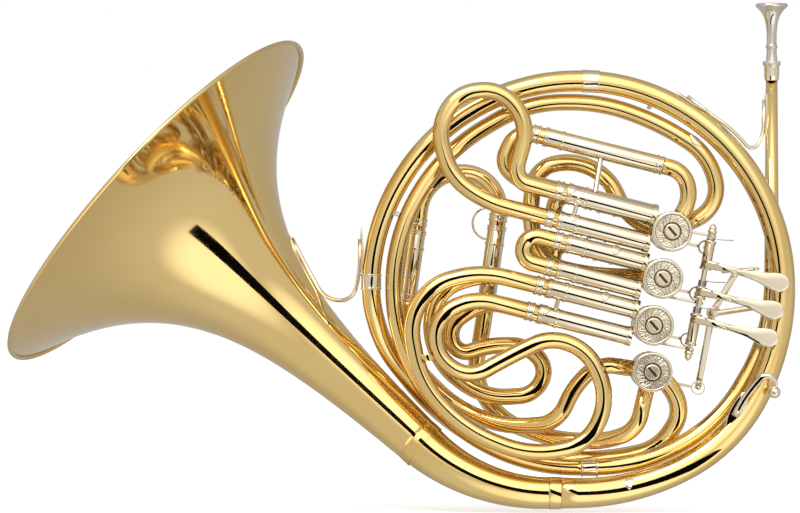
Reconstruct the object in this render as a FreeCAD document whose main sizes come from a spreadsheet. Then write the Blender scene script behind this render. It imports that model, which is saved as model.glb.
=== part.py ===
"""Double horn, held as it is played: bell to the left and behind, mouthpiece at the top right.

Frame: +X to the player's side (mouthpiece), +Y away from the valve caps, +Z up.
The origin is the centre of the ring that the coiled tubing makes. Millimetres.
"""
import FreeCAD, Part
import math
import os
import Sketcher
from FreeCAD import Placement, Rotation, Vector

doc = FreeCAD.newDocument("DoubleHorn")
sheet = doc.addObject("Spreadsheet::Sheet", "Sizes")

SIZES = {
    # overall
    "ring_radius": 147,            # centreline of the big branch
    "bell_radius": 150,
    "bell_length": 259,            # rim plane to the first ferrule
    "bell_throat_radius": 24,      # where the slow cone would meet the rim plane
    "bell_flare_reach": 55,        # the flare falls to 37 % over this distance
    "bell_wall": 0.6,
    "rim_wire": 1.6,
    "bell_slope": 42.3,            # degrees below level, seen from the front
    "bell_swing": 10.5,            # degrees, mouth turned away from the caps
    # branches
    "tail_radius": 17.4,
    "branch_foot_radius": 11.4,
    "branch_tip_radius": 6.6,
    "branch_wall": 0.6,
    "ferrule_wall": 0.7,
    # cylindrical tubing
    "tube_radius": 6,
    "tube_wall": 0.45,
    "slide_clearance": 0.06,
    "sleeve_wall": 0.4,
    # valves
    "valve_pitch": 34,
    "valve_tilt": 11,              # degrees, valve line from upright
    "slide_slope": 13.9,           # degrees, slide legs below level
    "leg_offset": 9.7,             # half the distance between a valve's two legs
    "leg_drop": 1.8,               # how far the legs' middle lies below the valve
    "casing_radius": 13.8,
    "casing_wall": 2.0,
    "casing_half": 29,
    "rotor_clearance": 0.06,
    "rotor_passage": 5.4,
    "cap_radius": 14.3,
    "cap_depth": 5.4,
    "plate_depth": 3.2,
    "spindle_radius": 2.6,
    "layer": 21,                   # depth of the front and of the back slides
    # stop arms, links and levers
    "stop_radius": 8.1,
    "pin_radius": 1.2,
    "stop_hub_radius": 4.2,
    "link_plane": 42,
    "link_depth": 2,
    "link_ring": 4.1,
    "crank_pin_radius": 1.2,
    "lever_reach": 29,             # valve line to lever hinge
    "hinge_rod_radius": 1.9,
    "hinge_tube_radius": 3.4,
    "crank_length": 55.1,
    "paddle_reach": 46,
    # mouthpiece
    "lip_rim_radius": 11.6,
    "mouthpiece_length": 53.5,
    "shank_radius": 4.2,
    "shank_tip_radius": 3.8,
    "receiver_radius": 5.5,
    "receiver_length": 14,
    "leadpipe_radius": 4.2,
}


def fill_sheet():
    """Write each driving size, as text, beside its name."""
    for row, (name, number) in enumerate(SIZES.items(), start=1):
        sheet.set(f"A{row}", name)
        sheet.set(f"B{row}", str(number))
        sheet.setAlias(f"B{row}", name)
    doc.recompute()


fill_sheet()


def size(name):
    return float(sheet.get(name))


NODES = {}


def node(label, *pieces):
    """Name a finished sub-part; several solids become one group."""
    if len(pieces) == 1:
        made = pieces[0]
    else:
        made = doc.addObject("Part::Compound", label + "_group")
        made.Links = list(pieces)
    made.Label = label
    NODES[label] = made
    return made


def upright(direction):
    return Rotation(Vector(0, 0, 1), direction)


# ---------------------------------------------------------------- primitives

def cylinder(name, radius, start, end):
    """A round bar from start to end; radius is a formula on the sheet."""
    bar = doc.addObject("Part::Cylinder", name)
    bar.setExpression("Radius", radius)
    bar.Height = (end - start).Length
    bar.Placement = Placement(start, upright(end - start))
    return bar


def cut(name, base, tool):
    made = doc.addObject("Part::Cut", name)
    made.Base = base
    made.Tool = tool
    return made


def fuse(name, *pieces):
    made = doc.addObject("Part::MultiFuse", name)
    made.Shapes = list(pieces)
    return made


def collar(name, inner, outer, start, end):
    """A round sleeve from start to end."""
    over = (end - start).normalize() * 1.0
    shell = cylinder(name + "_outside", outer, start, end)
    bore = cylinder(name + "_bore", inner, start - over, end + over)
    return cut(name, shell, bore)


def block(name, length, width, depth, centre, turn):
    """A rectangular bar about its centre."""
    bar = doc.addObject("Part::Box", name)
    bar.Length, bar.Width, bar.Height = length, width, depth
    half = Vector(length / 2, width / 2, depth / 2)
    bar.Placement = Placement(centre - turn.multVec(half), turn)
    return bar


def ball(name, radius, centre):
    made = doc.addObject("Part::Sphere", name)
    made.Radius = radius
    made.Placement = Placement(centre, Rotation())
    return made


# ---------------------------------------------------------------- sketches

def closed_sketch(body, role, corners):
    """A closed outline of straight sides; each corner is a pair of sheet formulas."""
    sketch = body.newObject("Sketcher::SketchObject", body.Name + "_sketch")
    plane = [item for item in body.Origin.OriginFeatures if item.Role == role][0]
    sketch.AttachmentSupport = (plane, [""])
    sketch.MapMode = "FlatFace"
    spots = [Vector(*(float(sheet.evalExpression(part)) for part in pair), 0) for pair in corners]
    count = len(spots)
    for index in range(count):
        sketch.addGeometry(Part.LineSegment(spots[index], spots[(index + 1) % count]), False)
    join = Sketcher.Constraint
    for index in range(count):
        sketch.addConstraint(join("Coincident", index, 2, (index + 1) % count, 1))
    for index, pair in enumerate(corners):
        for kind, axis, formula, spot in (
            ("DistanceX", -2, pair[0], spots[index].x),
            ("DistanceY", -1, pair[1], spots[index].y),
        ):
            if formula == "0":
                sketch.addConstraint(join("PointOnObject", index, 1, axis))
            else:
                place = sketch.addConstraint(join(kind, -1, 1, index, 1, spot))
                sketch.setExpression(f"Constraints[{place}]", formula)
    return sketch


def turned(name, outline, place):
    """A lathe piece: outline is (radius, height) pairs, spun about its own Z."""
    body = doc.addObject("PartDesign::Body", name)
    sketch = closed_sketch(body, "XZ_Plane", outline)
    spin = body.newObject("PartDesign::Revolution", name + "_spin")
    spin.Profile = sketch
    spin.ReferenceAxis = (sketch, ["V_Axis"])
    spin.Angle = 360
    body.Placement = place
    return body


def plate(name, outline, depth, place):
    """A flat piece: outline in its own XY, thickness along its own Z."""
    body = doc.addObject("PartDesign::Body", name)
    sketch = closed_sketch(body, "XY_Plane", outline)
    pad = body.newObject("PartDesign::Pad", name + "_pad")
    pad.Profile = sketch
    pad.setExpression("Length", depth)
    body.Placement = place
    return body


# ---------------------------------------------------------------- tubes

def route(corners):
    """Straight runs joined by the largest tangent arcs that their lengths allow."""
    last = len(corners) - 2
    edges = []
    here = corners[0]
    for index in range(1, last + 1):
        back = corners[index - 1] - corners[index]
        ahead = corners[index + 1] - corners[index]
        room_back = back.Length * (0.98 if index == 1 else 0.49)
        room_ahead = ahead.Length * (0.98 if index == last else 0.49)
        reach = min(room_back, room_ahead)
        half = back.getAngle(ahead) / 2
        radius = reach * math.tan(half)
        back.normalize()
        ahead.normalize()
        start = corners[index] + back * reach
        end = corners[index] + ahead * reach
        middle = corners[index] + (back + ahead).normalize() * (radius / math.sin(half) - radius)
        edges.append(Part.LineSegment(here, start).toShape())
        edges.append(Part.Arc(start, middle, end).toShape())
        here = end
    edges.append(Part.LineSegment(here, corners[-1]).toShape())
    return Part.Wire(edges)


def swept(name, spine, radius, start, direction):
    """A solid round bar along a spine; radius is a formula on the sheet."""
    section = doc.addObject("Part::Circle", name + "_section")
    section.setExpression("Radius", radius)
    section.Placement = Placement(start, upright(direction))
    bar = doc.addObject("Part::Sweep", name)
    bar.Sections = [section]
    bar.Spine = (spine, [])
    bar.Solid = True
    bar.Frenet = False
    return bar


def bent_tube(name, corners, outer="Sizes.tube_radius", wall="Sizes.tube_wall"):
    """A hollow tube of one size along straight runs and tangent arcs."""
    spine = doc.addObject("Part::Feature", name + "_spine")
    spine.Shape = route(corners)
    direction = corners[1] - corners[0]
    outside = swept(name + "_outside", spine, outer, corners[0], direction)
    inside = swept(name + "_inside", spine, f"{outer} - {wall}", corners[0], direction)
    return cut(name, outside, inside)


def bent_bar(name, corners, radius):
    """A solid wire or rod along straight runs and tangent arcs."""
    spine = doc.addObject("Part::Feature", name + "_spine")
    spine.Shape = route(corners)
    bar = swept(name, spine, "Sizes.pin_radius", corners[0], corners[1] - corners[0])
    bar.Sections[0].setExpression("Radius", radius)
    return bar


def section_at(edge, parameter, radius):
    ring = Part.Circle(edge.valueAt(parameter), edge.tangentAt(parameter), radius)
    return Part.Wire(ring.toShape())


def tapered_span(edge, start_radius, end_radius):
    shell = Part.BRepOffsetAPI.MakePipeShell(Part.Wire(edge))
    shell.add(section_at(edge, edge.FirstParameter, start_radius))
    shell.add(section_at(edge, edge.LastParameter, end_radius))
    shell.build()
    shell.makeSolid()
    return shell.shape()


def tapered_tube(name, corners, outer, wall):
    """A conical branch; outer(share) is its radius at a share of its length, 0 to 1."""
    wire = route(corners)
    spans = []
    gone = 0.0
    for edge in wire.OrderedEdges:
        first = outer(gone / wire.Length)
        gone += edge.Length
        second = outer(min(1, gone / wire.Length))
        outside = tapered_span(edge, first, second)
        spans.append(outside.cut(tapered_span(edge, first - wall, second - wall)))
    made = doc.addObject("Part::Feature", name)
    made.Shape = spans[0].multiFuse(spans[1:]).Solids[0]
    return made


# ---------------------------------------------------------------- places

RING = size("ring_radius")
LAYER = size("layer")
CASING = size("casing_radius")
TUBE = size("tube_radius")
SLEEVE = TUBE + size("slide_clearance") + size("sleeve_wall")


def on_ring(degrees, radius, depth):
    """A corner of the twelve-sided route whose arcs follow a circle of this radius."""
    reach = radius / math.cos(math.radians(15))
    turn = math.radians(degrees)
    return Vector(reach * math.cos(turn), depth, reach * math.sin(turn))


TILT = math.radians(size("valve_tilt"))
UP = Vector(math.sin(TILT), 0, math.cos(TILT))           # along the valve line
ACROSS = Vector(math.cos(TILT), 0, -math.sin(TILT))      # square to it, to the levers
SLOPE = math.radians(size("slide_slope"))
ALONG = Vector(math.cos(SLOPE), 0, -math.sin(SLOPE))     # slide legs, to the valves
OVER = Vector(math.sin(SLOPE), 0, math.cos(SLOPE))       # from one leg up to the next
DEEP = Vector(0, 1, 0)
VALVE_2 = Vector(60, 0, 6)
PITCH = size("valve_pitch")
VALVES = [VALVE_2 + UP * PITCH, VALVE_2, VALVE_2 - UP * PITCH]
VALVES.append(VALVES[2] + Vector(-1, 0, -PITCH * 0.97))


def leg(valve, side, back, depth):
    """A place on a slide leg: side +1 or -1, back mm left of the valve, at a depth."""
    offset = side * size("leg_offset") - size("leg_drop")
    return VALVES[valve] + OVER * offset - ALONG * back + DEEP * depth


# ---------------------------------------------------------------- bell and branches

SWING = math.radians(size("bell_swing"))
DROP = math.radians(size("bell_slope"))
MOUTHWARD = Vector(-math.cos(SWING) * math.cos(DROP), math.sin(SWING),
                   math.cos(SWING) * math.sin(DROP))
BRANCH_FOOT = Vector(-20, -9, -RING)
TAIL_CORNER = Vector(-73, -10.8, -RING)
TAIL = TAIL_CORNER + MOUTHWARD * 56
RIM_CENTRE = TAIL + MOUTHWARD * size("bell_length")


def bell_curve(distance):
    """Bell radius at a distance from the rim: a falling exponential plus a slow cone."""
    length = size("bell_length")
    throat = size("bell_throat_radius")
    reach = size("bell_flare_reach")
    opening = size("bell_radius") - throat
    foot = opening * math.exp(-length / reach)
    cone = throat - (throat - size("tail_radius") + foot) * distance / length
    return cone + opening * math.exp(-distance / reach)


BELL_SIDE = Vector(MOUTHWARD.z, 0, -MOUTHWARD.x).normalize()   # square to the axis, to the ring


def on_bell(distance, over):
    """A place beside the bell, over mm outside its wall, on the side of the ring."""
    return RIM_CENTRE - MOUTHWARD * distance + BELL_SIDE * (bell_curve(distance) + over)


def make_bell():
    """The flare: a thin spun wall between two smooth curves, with a wired rim."""
    length = size("bell_length")
    shares = [0, 0.04, 0.1, 0.18, 0.3, 0.45, 0.62, 0.8, 1]
    outside = [Vector(bell_curve(length * share), 0, -length * share) for share in shares]
    inside = [spot - Vector(size("bell_wall"), 0, 0) for spot in outside]
    inside[0] = outside[0] - Vector(0.15, 0, 0) + Vector(0, 0, size("bell_wall"))
    curves = []
    for spots in (outside, inside):
        curve = Part.BSplineCurve()
        curve.interpolate(spots)
        curves.append(curve.toShape())
    ends = [Part.LineSegment(outside[k], inside[k]).toShape() for k in (0, -1)]
    profile = doc.addObject("Part::Feature", "bell_profile")
    profile.Shape = Part.Face(Part.Wire(Part.__sortEdges__(curves + ends)))
    flare = doc.addObject("Part::Revolution", "bell_spun")
    flare.Source = profile
    flare.Axis = Vector(0, 0, 1)
    flare.Angle = 360
    flare.Placement = Placement(RIM_CENTRE, upright(MOUTHWARD))
    node("bell_flare", flare)
    wire = doc.addObject("Part::Torus", "rim_roll")
    wire.setExpression("Radius1", "Sizes.bell_radius + Sizes.rim_wire")
    wire.setExpression("Radius2", "Sizes.rim_wire")
    wire.Placement = flare.Placement
    node("bell_rim_wire", wire)


def ease(start, end, share):
    return start + (end - start) * share


def make_branches():
    """The cone of tubing from the bell tail, once round the ring, and its straight tube."""
    foot = size("branch_foot_radius")
    tip = size("branch_tip_radius")
    tail = size("tail_radius")
    wall = size("branch_wall")
    node("bell_branch", tapered_tube(
        "bell_branch_tube", [TAIL, TAIL_CORNER, BRANCH_FOOT],
        lambda share: ease(tail, foot, 1 - (1 - share) ** 1.5), wall))
    corners = [BRANCH_FOOT]
    corners.append(on_ring(-75, RING, -7))
    corners.append(on_ring(-45, RING + 5, -5))
    corners.append(on_ring(-15, RING, -2))
    corners += [on_ring(angle, RING, 0) for angle in (15, 45, 75, 105, 135, 165)]
    left = Vector(-RING, 0, 0)
    corners.append(left)
    node("outer_branch", tapered_tube(
        "outer_branch_tube", corners, lambda share: ease(foot, tip, share ** 0.6), wall))
    back = 15
    turn_in = [left, Vector(-RING, 0, -12), Vector(-RING + 9, back - 1, -44),
               on_ring(-135, RING - 16, back), on_ring(-105, RING - 20, back), Vector(30, back + 2, -123), Vector(60, back + 2, -116),
               Vector(76, 12, -90), Vector(66, 9, -68), VALVES[3] + DEEP * 9]
    return bent_tube("return_tube", turn_in, "Sizes.branch_tip_radius", "Sizes.branch_wall")


def make_leadpipe():
    """The mouthpipe down the player's side, and the tube it feeds, round to valve 1."""
    inset = 18
    depth = 14
    start = size("leadpipe_radius")
    side = 140
    bottom = -RING + inset
    corners = [Vector(side, depth, 149), Vector(side, depth, -34),
               on_ring(-45, RING - 10, 8), Vector(40, 0, bottom), Vector(10, 0, bottom)]
    node("leadpipe", tapered_tube("leadpipe_tube", corners,
                                  lambda share: ease(start, TUBE, min(1, share * 1.6)), 0.6))
    feed = [corners[-1]]
    feed.append(on_ring(-105, RING - inset, 0))
    feed += [on_ring(angle, RING - 16, 0) for angle in (-135, -165)]
    feed += [on_ring(165, RING - 16, 2), on_ring(135, RING - 16, 6.5)]
    feed += [on_ring(105, RING - 15, 6.5), Vector(18, 6, RING - 15)]
    feed += [Vector(60, 4, 116.5), Vector(95, 3, 94), Vector(103, 5, 57),
             VALVES[0] + DEEP * 5]
    return bent_tube("feed_tube", feed)


make_bell()
RETURN_TUBE = make_branches()
FEED_TUBE = make_leadpipe()


# ---------------------------------------------------------------- valves

FRONT = -size("casing_half")
BACK = size("casing_half")
FACING_FRONT = Rotation(Vector(0, 0, 1), Vector(0, -1, 0))
FACING_BACK = Rotation(Vector(0, 0, 1), Vector(0, 1, 0))


def make_valves():
    """Casings, screw caps, back plates, rotors with their stop arms, corks."""
    casings, caps, plates, corks = [], [], [], []
    for index, centre in enumerate(VALVES, start=1):
        front = centre + DEEP * FRONT
        back = centre + DEEP * BACK
        casings.append(collar(f"casing_{index}", "Sizes.casing_radius - Sizes.casing_wall",
                              "Sizes.casing_radius", front, back))
        caps.append(turned(f"cap_{index}", [
            ("0", "0"), ("Sizes.cap_radius", "0"), ("Sizes.cap_radius", "Sizes.cap_depth - 0.8"),
            ("Sizes.cap_radius - 0.8", "Sizes.cap_depth"),
            ("Sizes.cap_radius - 2.2", "Sizes.cap_depth"),
            ("Sizes.cap_radius - 2.6", "Sizes.cap_depth - 0.7"),
            ("6.4", "Sizes.cap_depth - 0.7"), ("5.6", "Sizes.cap_depth + 0.9"),
            ("0", "Sizes.cap_depth + 0.9")], Placement(front, FACING_FRONT)))
        plates.append(turned(f"back_plate_{index}", [
            ("Sizes.spindle_radius + 0.05", "0"), ("Sizes.casing_radius", "0"),
            ("Sizes.casing_radius", "Sizes.plate_depth"),
            ("6.2", "Sizes.plate_depth"), ("5.8", "Sizes.plate_depth + 1.6"),
            ("Sizes.spindle_radius + 0.05", "Sizes.plate_depth + 1.6")],
            Placement(back, FACING_BACK)))
        make_rotor(index, centre)
        plate_face = centre + DEEP * (BACK + size("plate_depth"))
        for degrees in (8, 172):
            turn = math.radians(degrees)
            spot = plate_face + (ACROSS * math.cos(turn) + UP * math.sin(turn)) * 9.6
            corks.append(cylinder(f"cork_{index}_{degrees}", "1.9", spot, spot + DEEP * 5))
    node("rotor_casings", *casings)
    node("valve_caps", *caps)
    node("back_plates", *plates)
    node("cork_bumpers", *corks)


def make_rotor(index, centre):
    """A rotor with two windways on each level, its spindle, and the stop arm on it."""
    gap = "Sizes.casing_wall + Sizes.rotor_clearance"
    level = size("layer")
    ends = [centre + DEEP * (FRONT + 0.3), centre + DEEP * (BACK - 0.3)]
    core = cylinder(f"rotor_core_{index}", f"Sizes.casing_radius - ({gap})", *ends)
    passages = []
    for depth in (-level + 4, level - 4):
        for side in (-1, 1):
            spot = centre + DEEP * depth + UP * side * 10.5
            reach = ACROSS * (CASING + 4)
            passages.append(cylinder(f"windway_{index}_{len(passages)}", "Sizes.rotor_passage",
                                     spot - reach, spot + reach))
    ways = fuse(f"windways_{index}", *passages)
    spindle = cylinder(f"spindle_{index}", "Sizes.spindle_radius",
                       centre + DEEP * (BACK - 2), centre + DEEP * (size("link_plane") - 2.2))
    barrel = cut(f"rotor_barrel_{index}", core, ways)
    node(f"rotor_{index}", fuse(f"rotor_whole_{index}", barrel, spindle))
    arm_back = size("link_plane") - 1.4
    arm_front = arm_back - 2.6
    pin = pin_place(centre)
    hub = collar(f"stop_hub_{index}", "Sizes.spindle_radius", "Sizes.stop_hub_radius",
                 centre + DEEP * arm_front, centre + DEEP * arm_back)
    reach = pin - centre
    spot = centre + reach * 0.72 + DEEP * (arm_front + arm_back) / 2
    turn = Rotation(reach, Vector(0, 0, 0), DEEP, "XZY")
    arm = block(f"stop_bar_{index}", reach.Length * 0.56, 3.4, arm_back - arm_front, spot, turn)
    stud = cylinder(f"stop_pin_{index}", "Sizes.pin_radius", pin + DEEP * arm_front,
                    pin + DEEP * (size("link_plane") + 2))
    node(f"stop_arm_{index}", fuse(f"stop_whole_{index}", hub, arm, stud))


def pin_place(centre):
    return centre + (ACROSS - UP) * (size("stop_radius") / math.sqrt(2))


make_valves()
CASING_SPACE = fuse("casing_space", *[
    cylinder(f"casing_space_{index}", "Sizes.casing_radius", centre - DEEP * 60, centre + DEEP * 60)
    for index, centre in enumerate(VALVES, start=1)])


def coped(label, *tubes):
    """Tubes cut back to the casings that they run into."""
    node(label, *[cut(f"{label}_coped_{k}", tube, CASING_SPACE) for k, tube in enumerate(tubes)])


coped("return_branch", RETURN_TUBE)
coped("feed_branch", FEED_TUBE)


# ---------------------------------------------------------------- slides

SLEEVE_TUBES, SLEEVE_RINGS = [], []


def sleeve(name, start, mouth):
    """A fixed outer tube and the ring round its mouth."""
    inner = "Sizes.tube_radius + Sizes.slide_clearance"
    SLEEVE_TUBES.append(collar(name, inner, f"{inner} + Sizes.sleeve_wall", start, mouth))
    back = (start - mouth).normalize()
    ring_end = mouth + back * 2.4
    SLEEVE_RINGS.append(collar(name + "_ring", f"{inner} + Sizes.sleeve_wall + 0.01",
                               f"{inner} + Sizes.sleeve_wall + 0.7", mouth, ring_end))


def bow_ferrules(label, spots):
    """Two rings that join a bow to its legs; each spot is a place and a direction."""
    node(label, *[collar(f"{label}_{k}", "Sizes.tube_radius + 0.01", "Sizes.tube_radius + 0.7",
                         spot, spot + direction.normalize() * 3.4)
                  for k, (spot, direction) in enumerate(spots)])


def valve_slide(label, valve, depth, mouths, bow, travel):
    """A two-legged slide: sleeves from the casing, bow through the given middle corners."""
    legs = []
    for side, mouth in zip((1, -1), mouths):
        sleeve(f"{label}_sleeve_{side + 1}", leg(valve, side, 0, depth), leg(valve, side, mouth, depth))
        legs.append((leg(valve, side, CASING + 6, depth), leg(valve, side, mouth + 3.4, depth)))
    corners = [legs[0][0]] + [Vector(x, depth, z) for x, z in bow] + [legs[1][0]]
    node(label, bent_tube(label + "_tube", corners))
    if depth < 0:
        bow_ferrules(label + "_ferrules", [(spot, -ALONG) for _, spot in legs])
    return travel


def off(valve, side, back):
    """A bow corner on a leg's own line, so that the leg runs straight into it."""
    spot = leg(valve, side, back, 0)
    return (spot.x, spot.z)


valve_slide("valve_slide_1", 0, -LAYER, (78, 80), [
    off(0, 1, 112), (-44, 84), (-35, 116), (-54, 141), (-86, 138), (-100, 112), (-90, 78),
    off(0, -1, 132)], 0)
valve_slide("valve_slide_2", 1, -LAYER, (72, 74), [off(1, 1, 101), off(1, -1, 101)], 0)
valve_slide("valve_slide_3", 2, -LAYER, (79, 81), [
    off(2, 1, 128), (-104, 2), (-120, -24), (-112, -68), (-80, -102), (-34, -120), (8, -112),
    (22, -78), (8, -46), (-19, -35), (-50, -50), (-78, -66), (-102, -48), (-100, -20),
    off(2, -1, 128)], 0)
valve_slide("back_slide_1", 0, LAYER, (54, 56), [off(0, 1, 84), off(0, -1, 84)], 0)
valve_slide("back_slide_2", 1, LAYER, (50, 52), [off(1, 1, 78), off(1, -1, 78)], 0)
valve_slide("back_slide_3", 2, LAYER, (79, 81), [
    off(2, 1, 124), (-98, -2), (-106, -30), (-96, -58), (-66, -80), (-30, -78), (-20, -58),
    (-36, -42), (-62, -42), (-86, -50), (-92, -28), off(2, -1, 120)], 0)


def make_main_slide():
    """The long upper slide, its lower leg behind the first front slide."""
    depth = -7.6
    upper = Vector(58, depth, 87)
    fall = ALONG * 84
    lower = VALVES[0] + OVER * 9.5 + DEEP * depth
    upper_mouth = upper - fall
    lower_mouth = lower - ALONG * 78
    sleeve("main_sleeve_upper", upper, upper_mouth)
    sleeve("main_sleeve_lower", lower, lower_mouth)
    bow_top = upper_mouth - ALONG * 20
    bow_low = lower_mouth - ALONG * 36
    node("main_slide", bent_tube("main_slide_tube", [
        upper - ALONG * 12, bow_top, Vector(-54, depth, 88), bow_low, lower - ALONG * 24]))
    bow_ferrules("main_slide_ferrules", [(upper_mouth - ALONG * 3.4, -ALONG),
                                         (lower_mouth - ALONG * 3.4, -ALONG)])
    return bent_tube("main_bend", [upper + ALONG * 0.6, Vector(76, depth, 82.5),
                                   Vector(81, depth, 62), VALVES[0] + DEEP * depth])


def make_tuning_slide():
    """The upright slide at the back left, with the tubes that its legs stand on."""
    depth = 35
    rise = Vector(0.139, 0, 0.990)
    left_foot = Vector(-121, depth, -8)
    right_foot = Vector(-64, depth, -10)
    left_mouth = left_foot + rise * 49
    right_mouth = right_foot + rise * 54
    sleeve("tuning_sleeve_left", left_foot, left_mouth)
    sleeve("tuning_sleeve_right", right_foot, right_mouth)
    node("tuning_slide", bent_tube("tuning_slide_tube", [
        left_foot + rise * 6, left_mouth + rise * 44, right_mouth + rise * 37,
        right_foot + rise * 6]))
    bow_ferrules("tuning_slide_ferrules", [(left_mouth + rise * 3.4, rise),
                                           (right_mouth + rise * 3.4, rise)])
    ring_centre = right_mouth + Vector(-6, SLEEVE + 1.6, 2)
    ring = doc.addObject("Part::Torus", "pull_ring_wire")
    ring.Radius1, ring.Radius2 = 11.5, 0.8
    ring.Placement = Placement(ring_centre, Rotation(Vector(0, 0, 1), Vector(0, 1, 0)))
    node("pull_ring", ring)
    left = bent_tube("tuning_left", [
        left_foot, left_foot - rise * 20, Vector(-118, depth, -56), Vector(-86, depth - 1, -88),
        Vector(-50, 19, -101), Vector(-14, 7, -98), Vector(-2, 6, -72), Vector(14, 6, -56),
        VALVES[3] + Vector(0, 6, 3)])
    right = bent_tube("tuning_right", [
        right_foot, right_foot - rise * 22, Vector(-74, depth + 3, -68), Vector(-52, depth + 3, -98),
        Vector(-14, 20, -110), Vector(20, 7, -111), Vector(44, -2, -102),
        VALVES[3] + Vector(-3, -4, 0)])
    return left, right


def make_cross_loop():
    """The arch above the slides and its leg between them, from valve 1 to valve 2."""
    depth = 7
    return bent_tube("cross_loop_tube", [
        VALVES[0] + DEEP * depth, Vector(38, depth, 46), Vector(22, depth, 80),
        Vector(-4, depth, 91), Vector(-30, depth, 84), Vector(-34, depth, 46),
        Vector(-24, depth, 16), Vector(10, depth, 8), VALVES[1] + DEEP * depth])


MAIN_BEND = make_main_slide()
TUNING_LEFT, TUNING_RIGHT = make_tuning_slide()
coped("main_slide_bend", MAIN_BEND)
coped("tuning_tail_left", TUNING_LEFT)
coped("tuning_tail_right", TUNING_RIGHT)
coped("cross_loop", make_cross_loop())
coped("slide_sleeves", *SLEEVE_TUBES)
node("sleeve_rings", *SLEEVE_RINGS)


# ---------------------------------------------------------------- mouthpiece

RECEIVER_TOP = Vector(140, 14, 161.5)


def make_mouthpiece():
    """A turned mouthpiece with a funnel cup, and the receiver that its shank sits in."""
    length = "Sizes.mouthpiece_length"
    rim = "Sizes.lip_rim_radius"
    shank = "Sizes.receiver_length - 2"
    place = Placement(RECEIVER_TOP - Vector(0, 0, size("receiver_length") - 2), Rotation())
    node("mouthpiece", turned("mouthpiece_turned", [
        ("2.4", "0"), ("Sizes.shank_tip_radius", "0"), ("Sizes.shank_radius", shank),
        ("Sizes.shank_radius - 0.4", f"{shank} + 3"), (f"{rim} * 0.33", f"{length} - 19"),
        (f"{rim} * 0.39", f"{length} - 13"), (f"{rim} * 0.51", f"{length} - 9"),
        (f"{rim} * 0.7", f"{length} - 5.4"), (f"{rim} * 0.92", f"{length} - 3.2"),
        (rim, f"{length} - 2.2"), (rim, f"{length} - 1"), (f"{rim} - 0.9", length),
        (f"{rim} - 2", length), (f"{rim} - 3", f"{length} - 1.2"), (f"{rim} * 0.37", f"{length} - 8"),
        (f"{rim} * 0.25", f"{length} - 14"), ("2.3", f"{length} - 22")], place))
    cone = size("shank_radius") - size("shank_tip_radius")
    seat = "0.05 + Sizes.shank_tip_radius"
    node("mouthpiece_receiver", turned("receiver_turned", [
        (seat, "2"), (f"{seat} + {cone}", "Sizes.receiver_length"),
        ("Sizes.receiver_radius + 0.9", "Sizes.receiver_length"),
        ("Sizes.receiver_radius + 0.9", "Sizes.receiver_length - 3"),
        ("Sizes.receiver_radius", "Sizes.receiver_length - 3.6"),
        ("Sizes.receiver_radius", "3"), ("Sizes.leadpipe_radius + 0.4", "0"),
        ("Sizes.leadpipe_radius + 0.01", "0"), ("Sizes.leadpipe_radius + 0.01", "1.5"),
        (seat, "1.5")],
        Placement(RECEIVER_TOP - Vector(0, 0, size("receiver_length")), Rotation())))


# ---------------------------------------------------------------- levers

HINGE_DEPTH = size("link_plane") - size("crank_length")
PLANE = DEEP * size("link_plane")


def hinge_spot(height):
    """A place on the lever hinge axis, height measured along the valve line."""
    return VALVE_2 + ACROSS * size("lever_reach") + UP * height + DEEP * HINGE_DEPTH


PIN_DROP = size("stop_radius") / math.sqrt(2)


def make_levers():
    """Three finger levers on one hinge rod: paddle, tube, crank to the back."""
    tubes = {1: (12, 33), 2: (-9.5, -0.5), 3: (-43, -20)}
    arms = {1: 16, 2: -4, 3: -24}
    clear = "Sizes.hinge_rod_radius + 0.05"
    for index, (low, high) in tubes.items():
        barrel = collar(f"lever_barrel_{index}", clear, "Sizes.hinge_tube_radius",
                        hinge_spot(low), hinge_spot(high))
        crank_at = (VALVES[index - 1] - VALVE_2).dot(UP) - PIN_DROP
        start = hinge_spot(crank_at) + DEEP * 2.6
        end = hinge_spot(crank_at) + DEEP * (size("crank_length") - 3)
        turn = Rotation(ACROSS, UP, DEEP, "ZXY")
        crank = block(f"crank_{index}", 5, 2.6, (end - start).Length, (start + end) / 2, turn)
        tip = cylinder(f"crank_tip_{index}", "Sizes.crank_pin_radius", end - DEEP,
                       end + DEEP * 5.4)
        arm_from = hinge_spot(arms[index]) - DEEP * 2.9
        arm_to = arm_from + ALONG * 34 - DEEP * 8
        reach = arm_to - arm_from
        side = reach.cross(OVER).normalize()
        turn = Rotation(reach, OVER, side, "XYZ")
        arm = block(f"lever_arm_{index}", reach.Length, 5, 1.8, (arm_from + arm_to) / 2, turn)
        half = 7.2
        pad = plate(f"paddle_{index}", [
            ("-16", "-2.6"), ("-6", "-4.6"), ("3", f"{-half}"), ("9", f"{-half}"),
            ("13.5", "-4"), ("14.5", "0"), ("13.5", "4"), ("9", f"{half - 0.6}"),
            ("2", f"{half - 1.4}"), ("-16", "2.6")], "1.6",
            Placement(arm_to + ALONG * 12 - DEEP * 0.2, Rotation(ALONG, OVER, DEEP, "XYZ")))
        node(f"finger_lever_{index}", fuse(f"lever_whole_{index}", barrel, crank, tip, arm, pad))
    node("lever_hinge_rod", fuse(
        "hinge_rod_whole",
        cylinder("hinge_rod", "Sizes.hinge_rod_radius", hinge_spot(-48), hinge_spot(39)),
        cylinder("hinge_knob_low", "3.2", hinge_spot(-50), hinge_spot(-47)),
        cylinder("hinge_knob_high", "2.8", hinge_spot(38.5), hinge_spot(41))))


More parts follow.
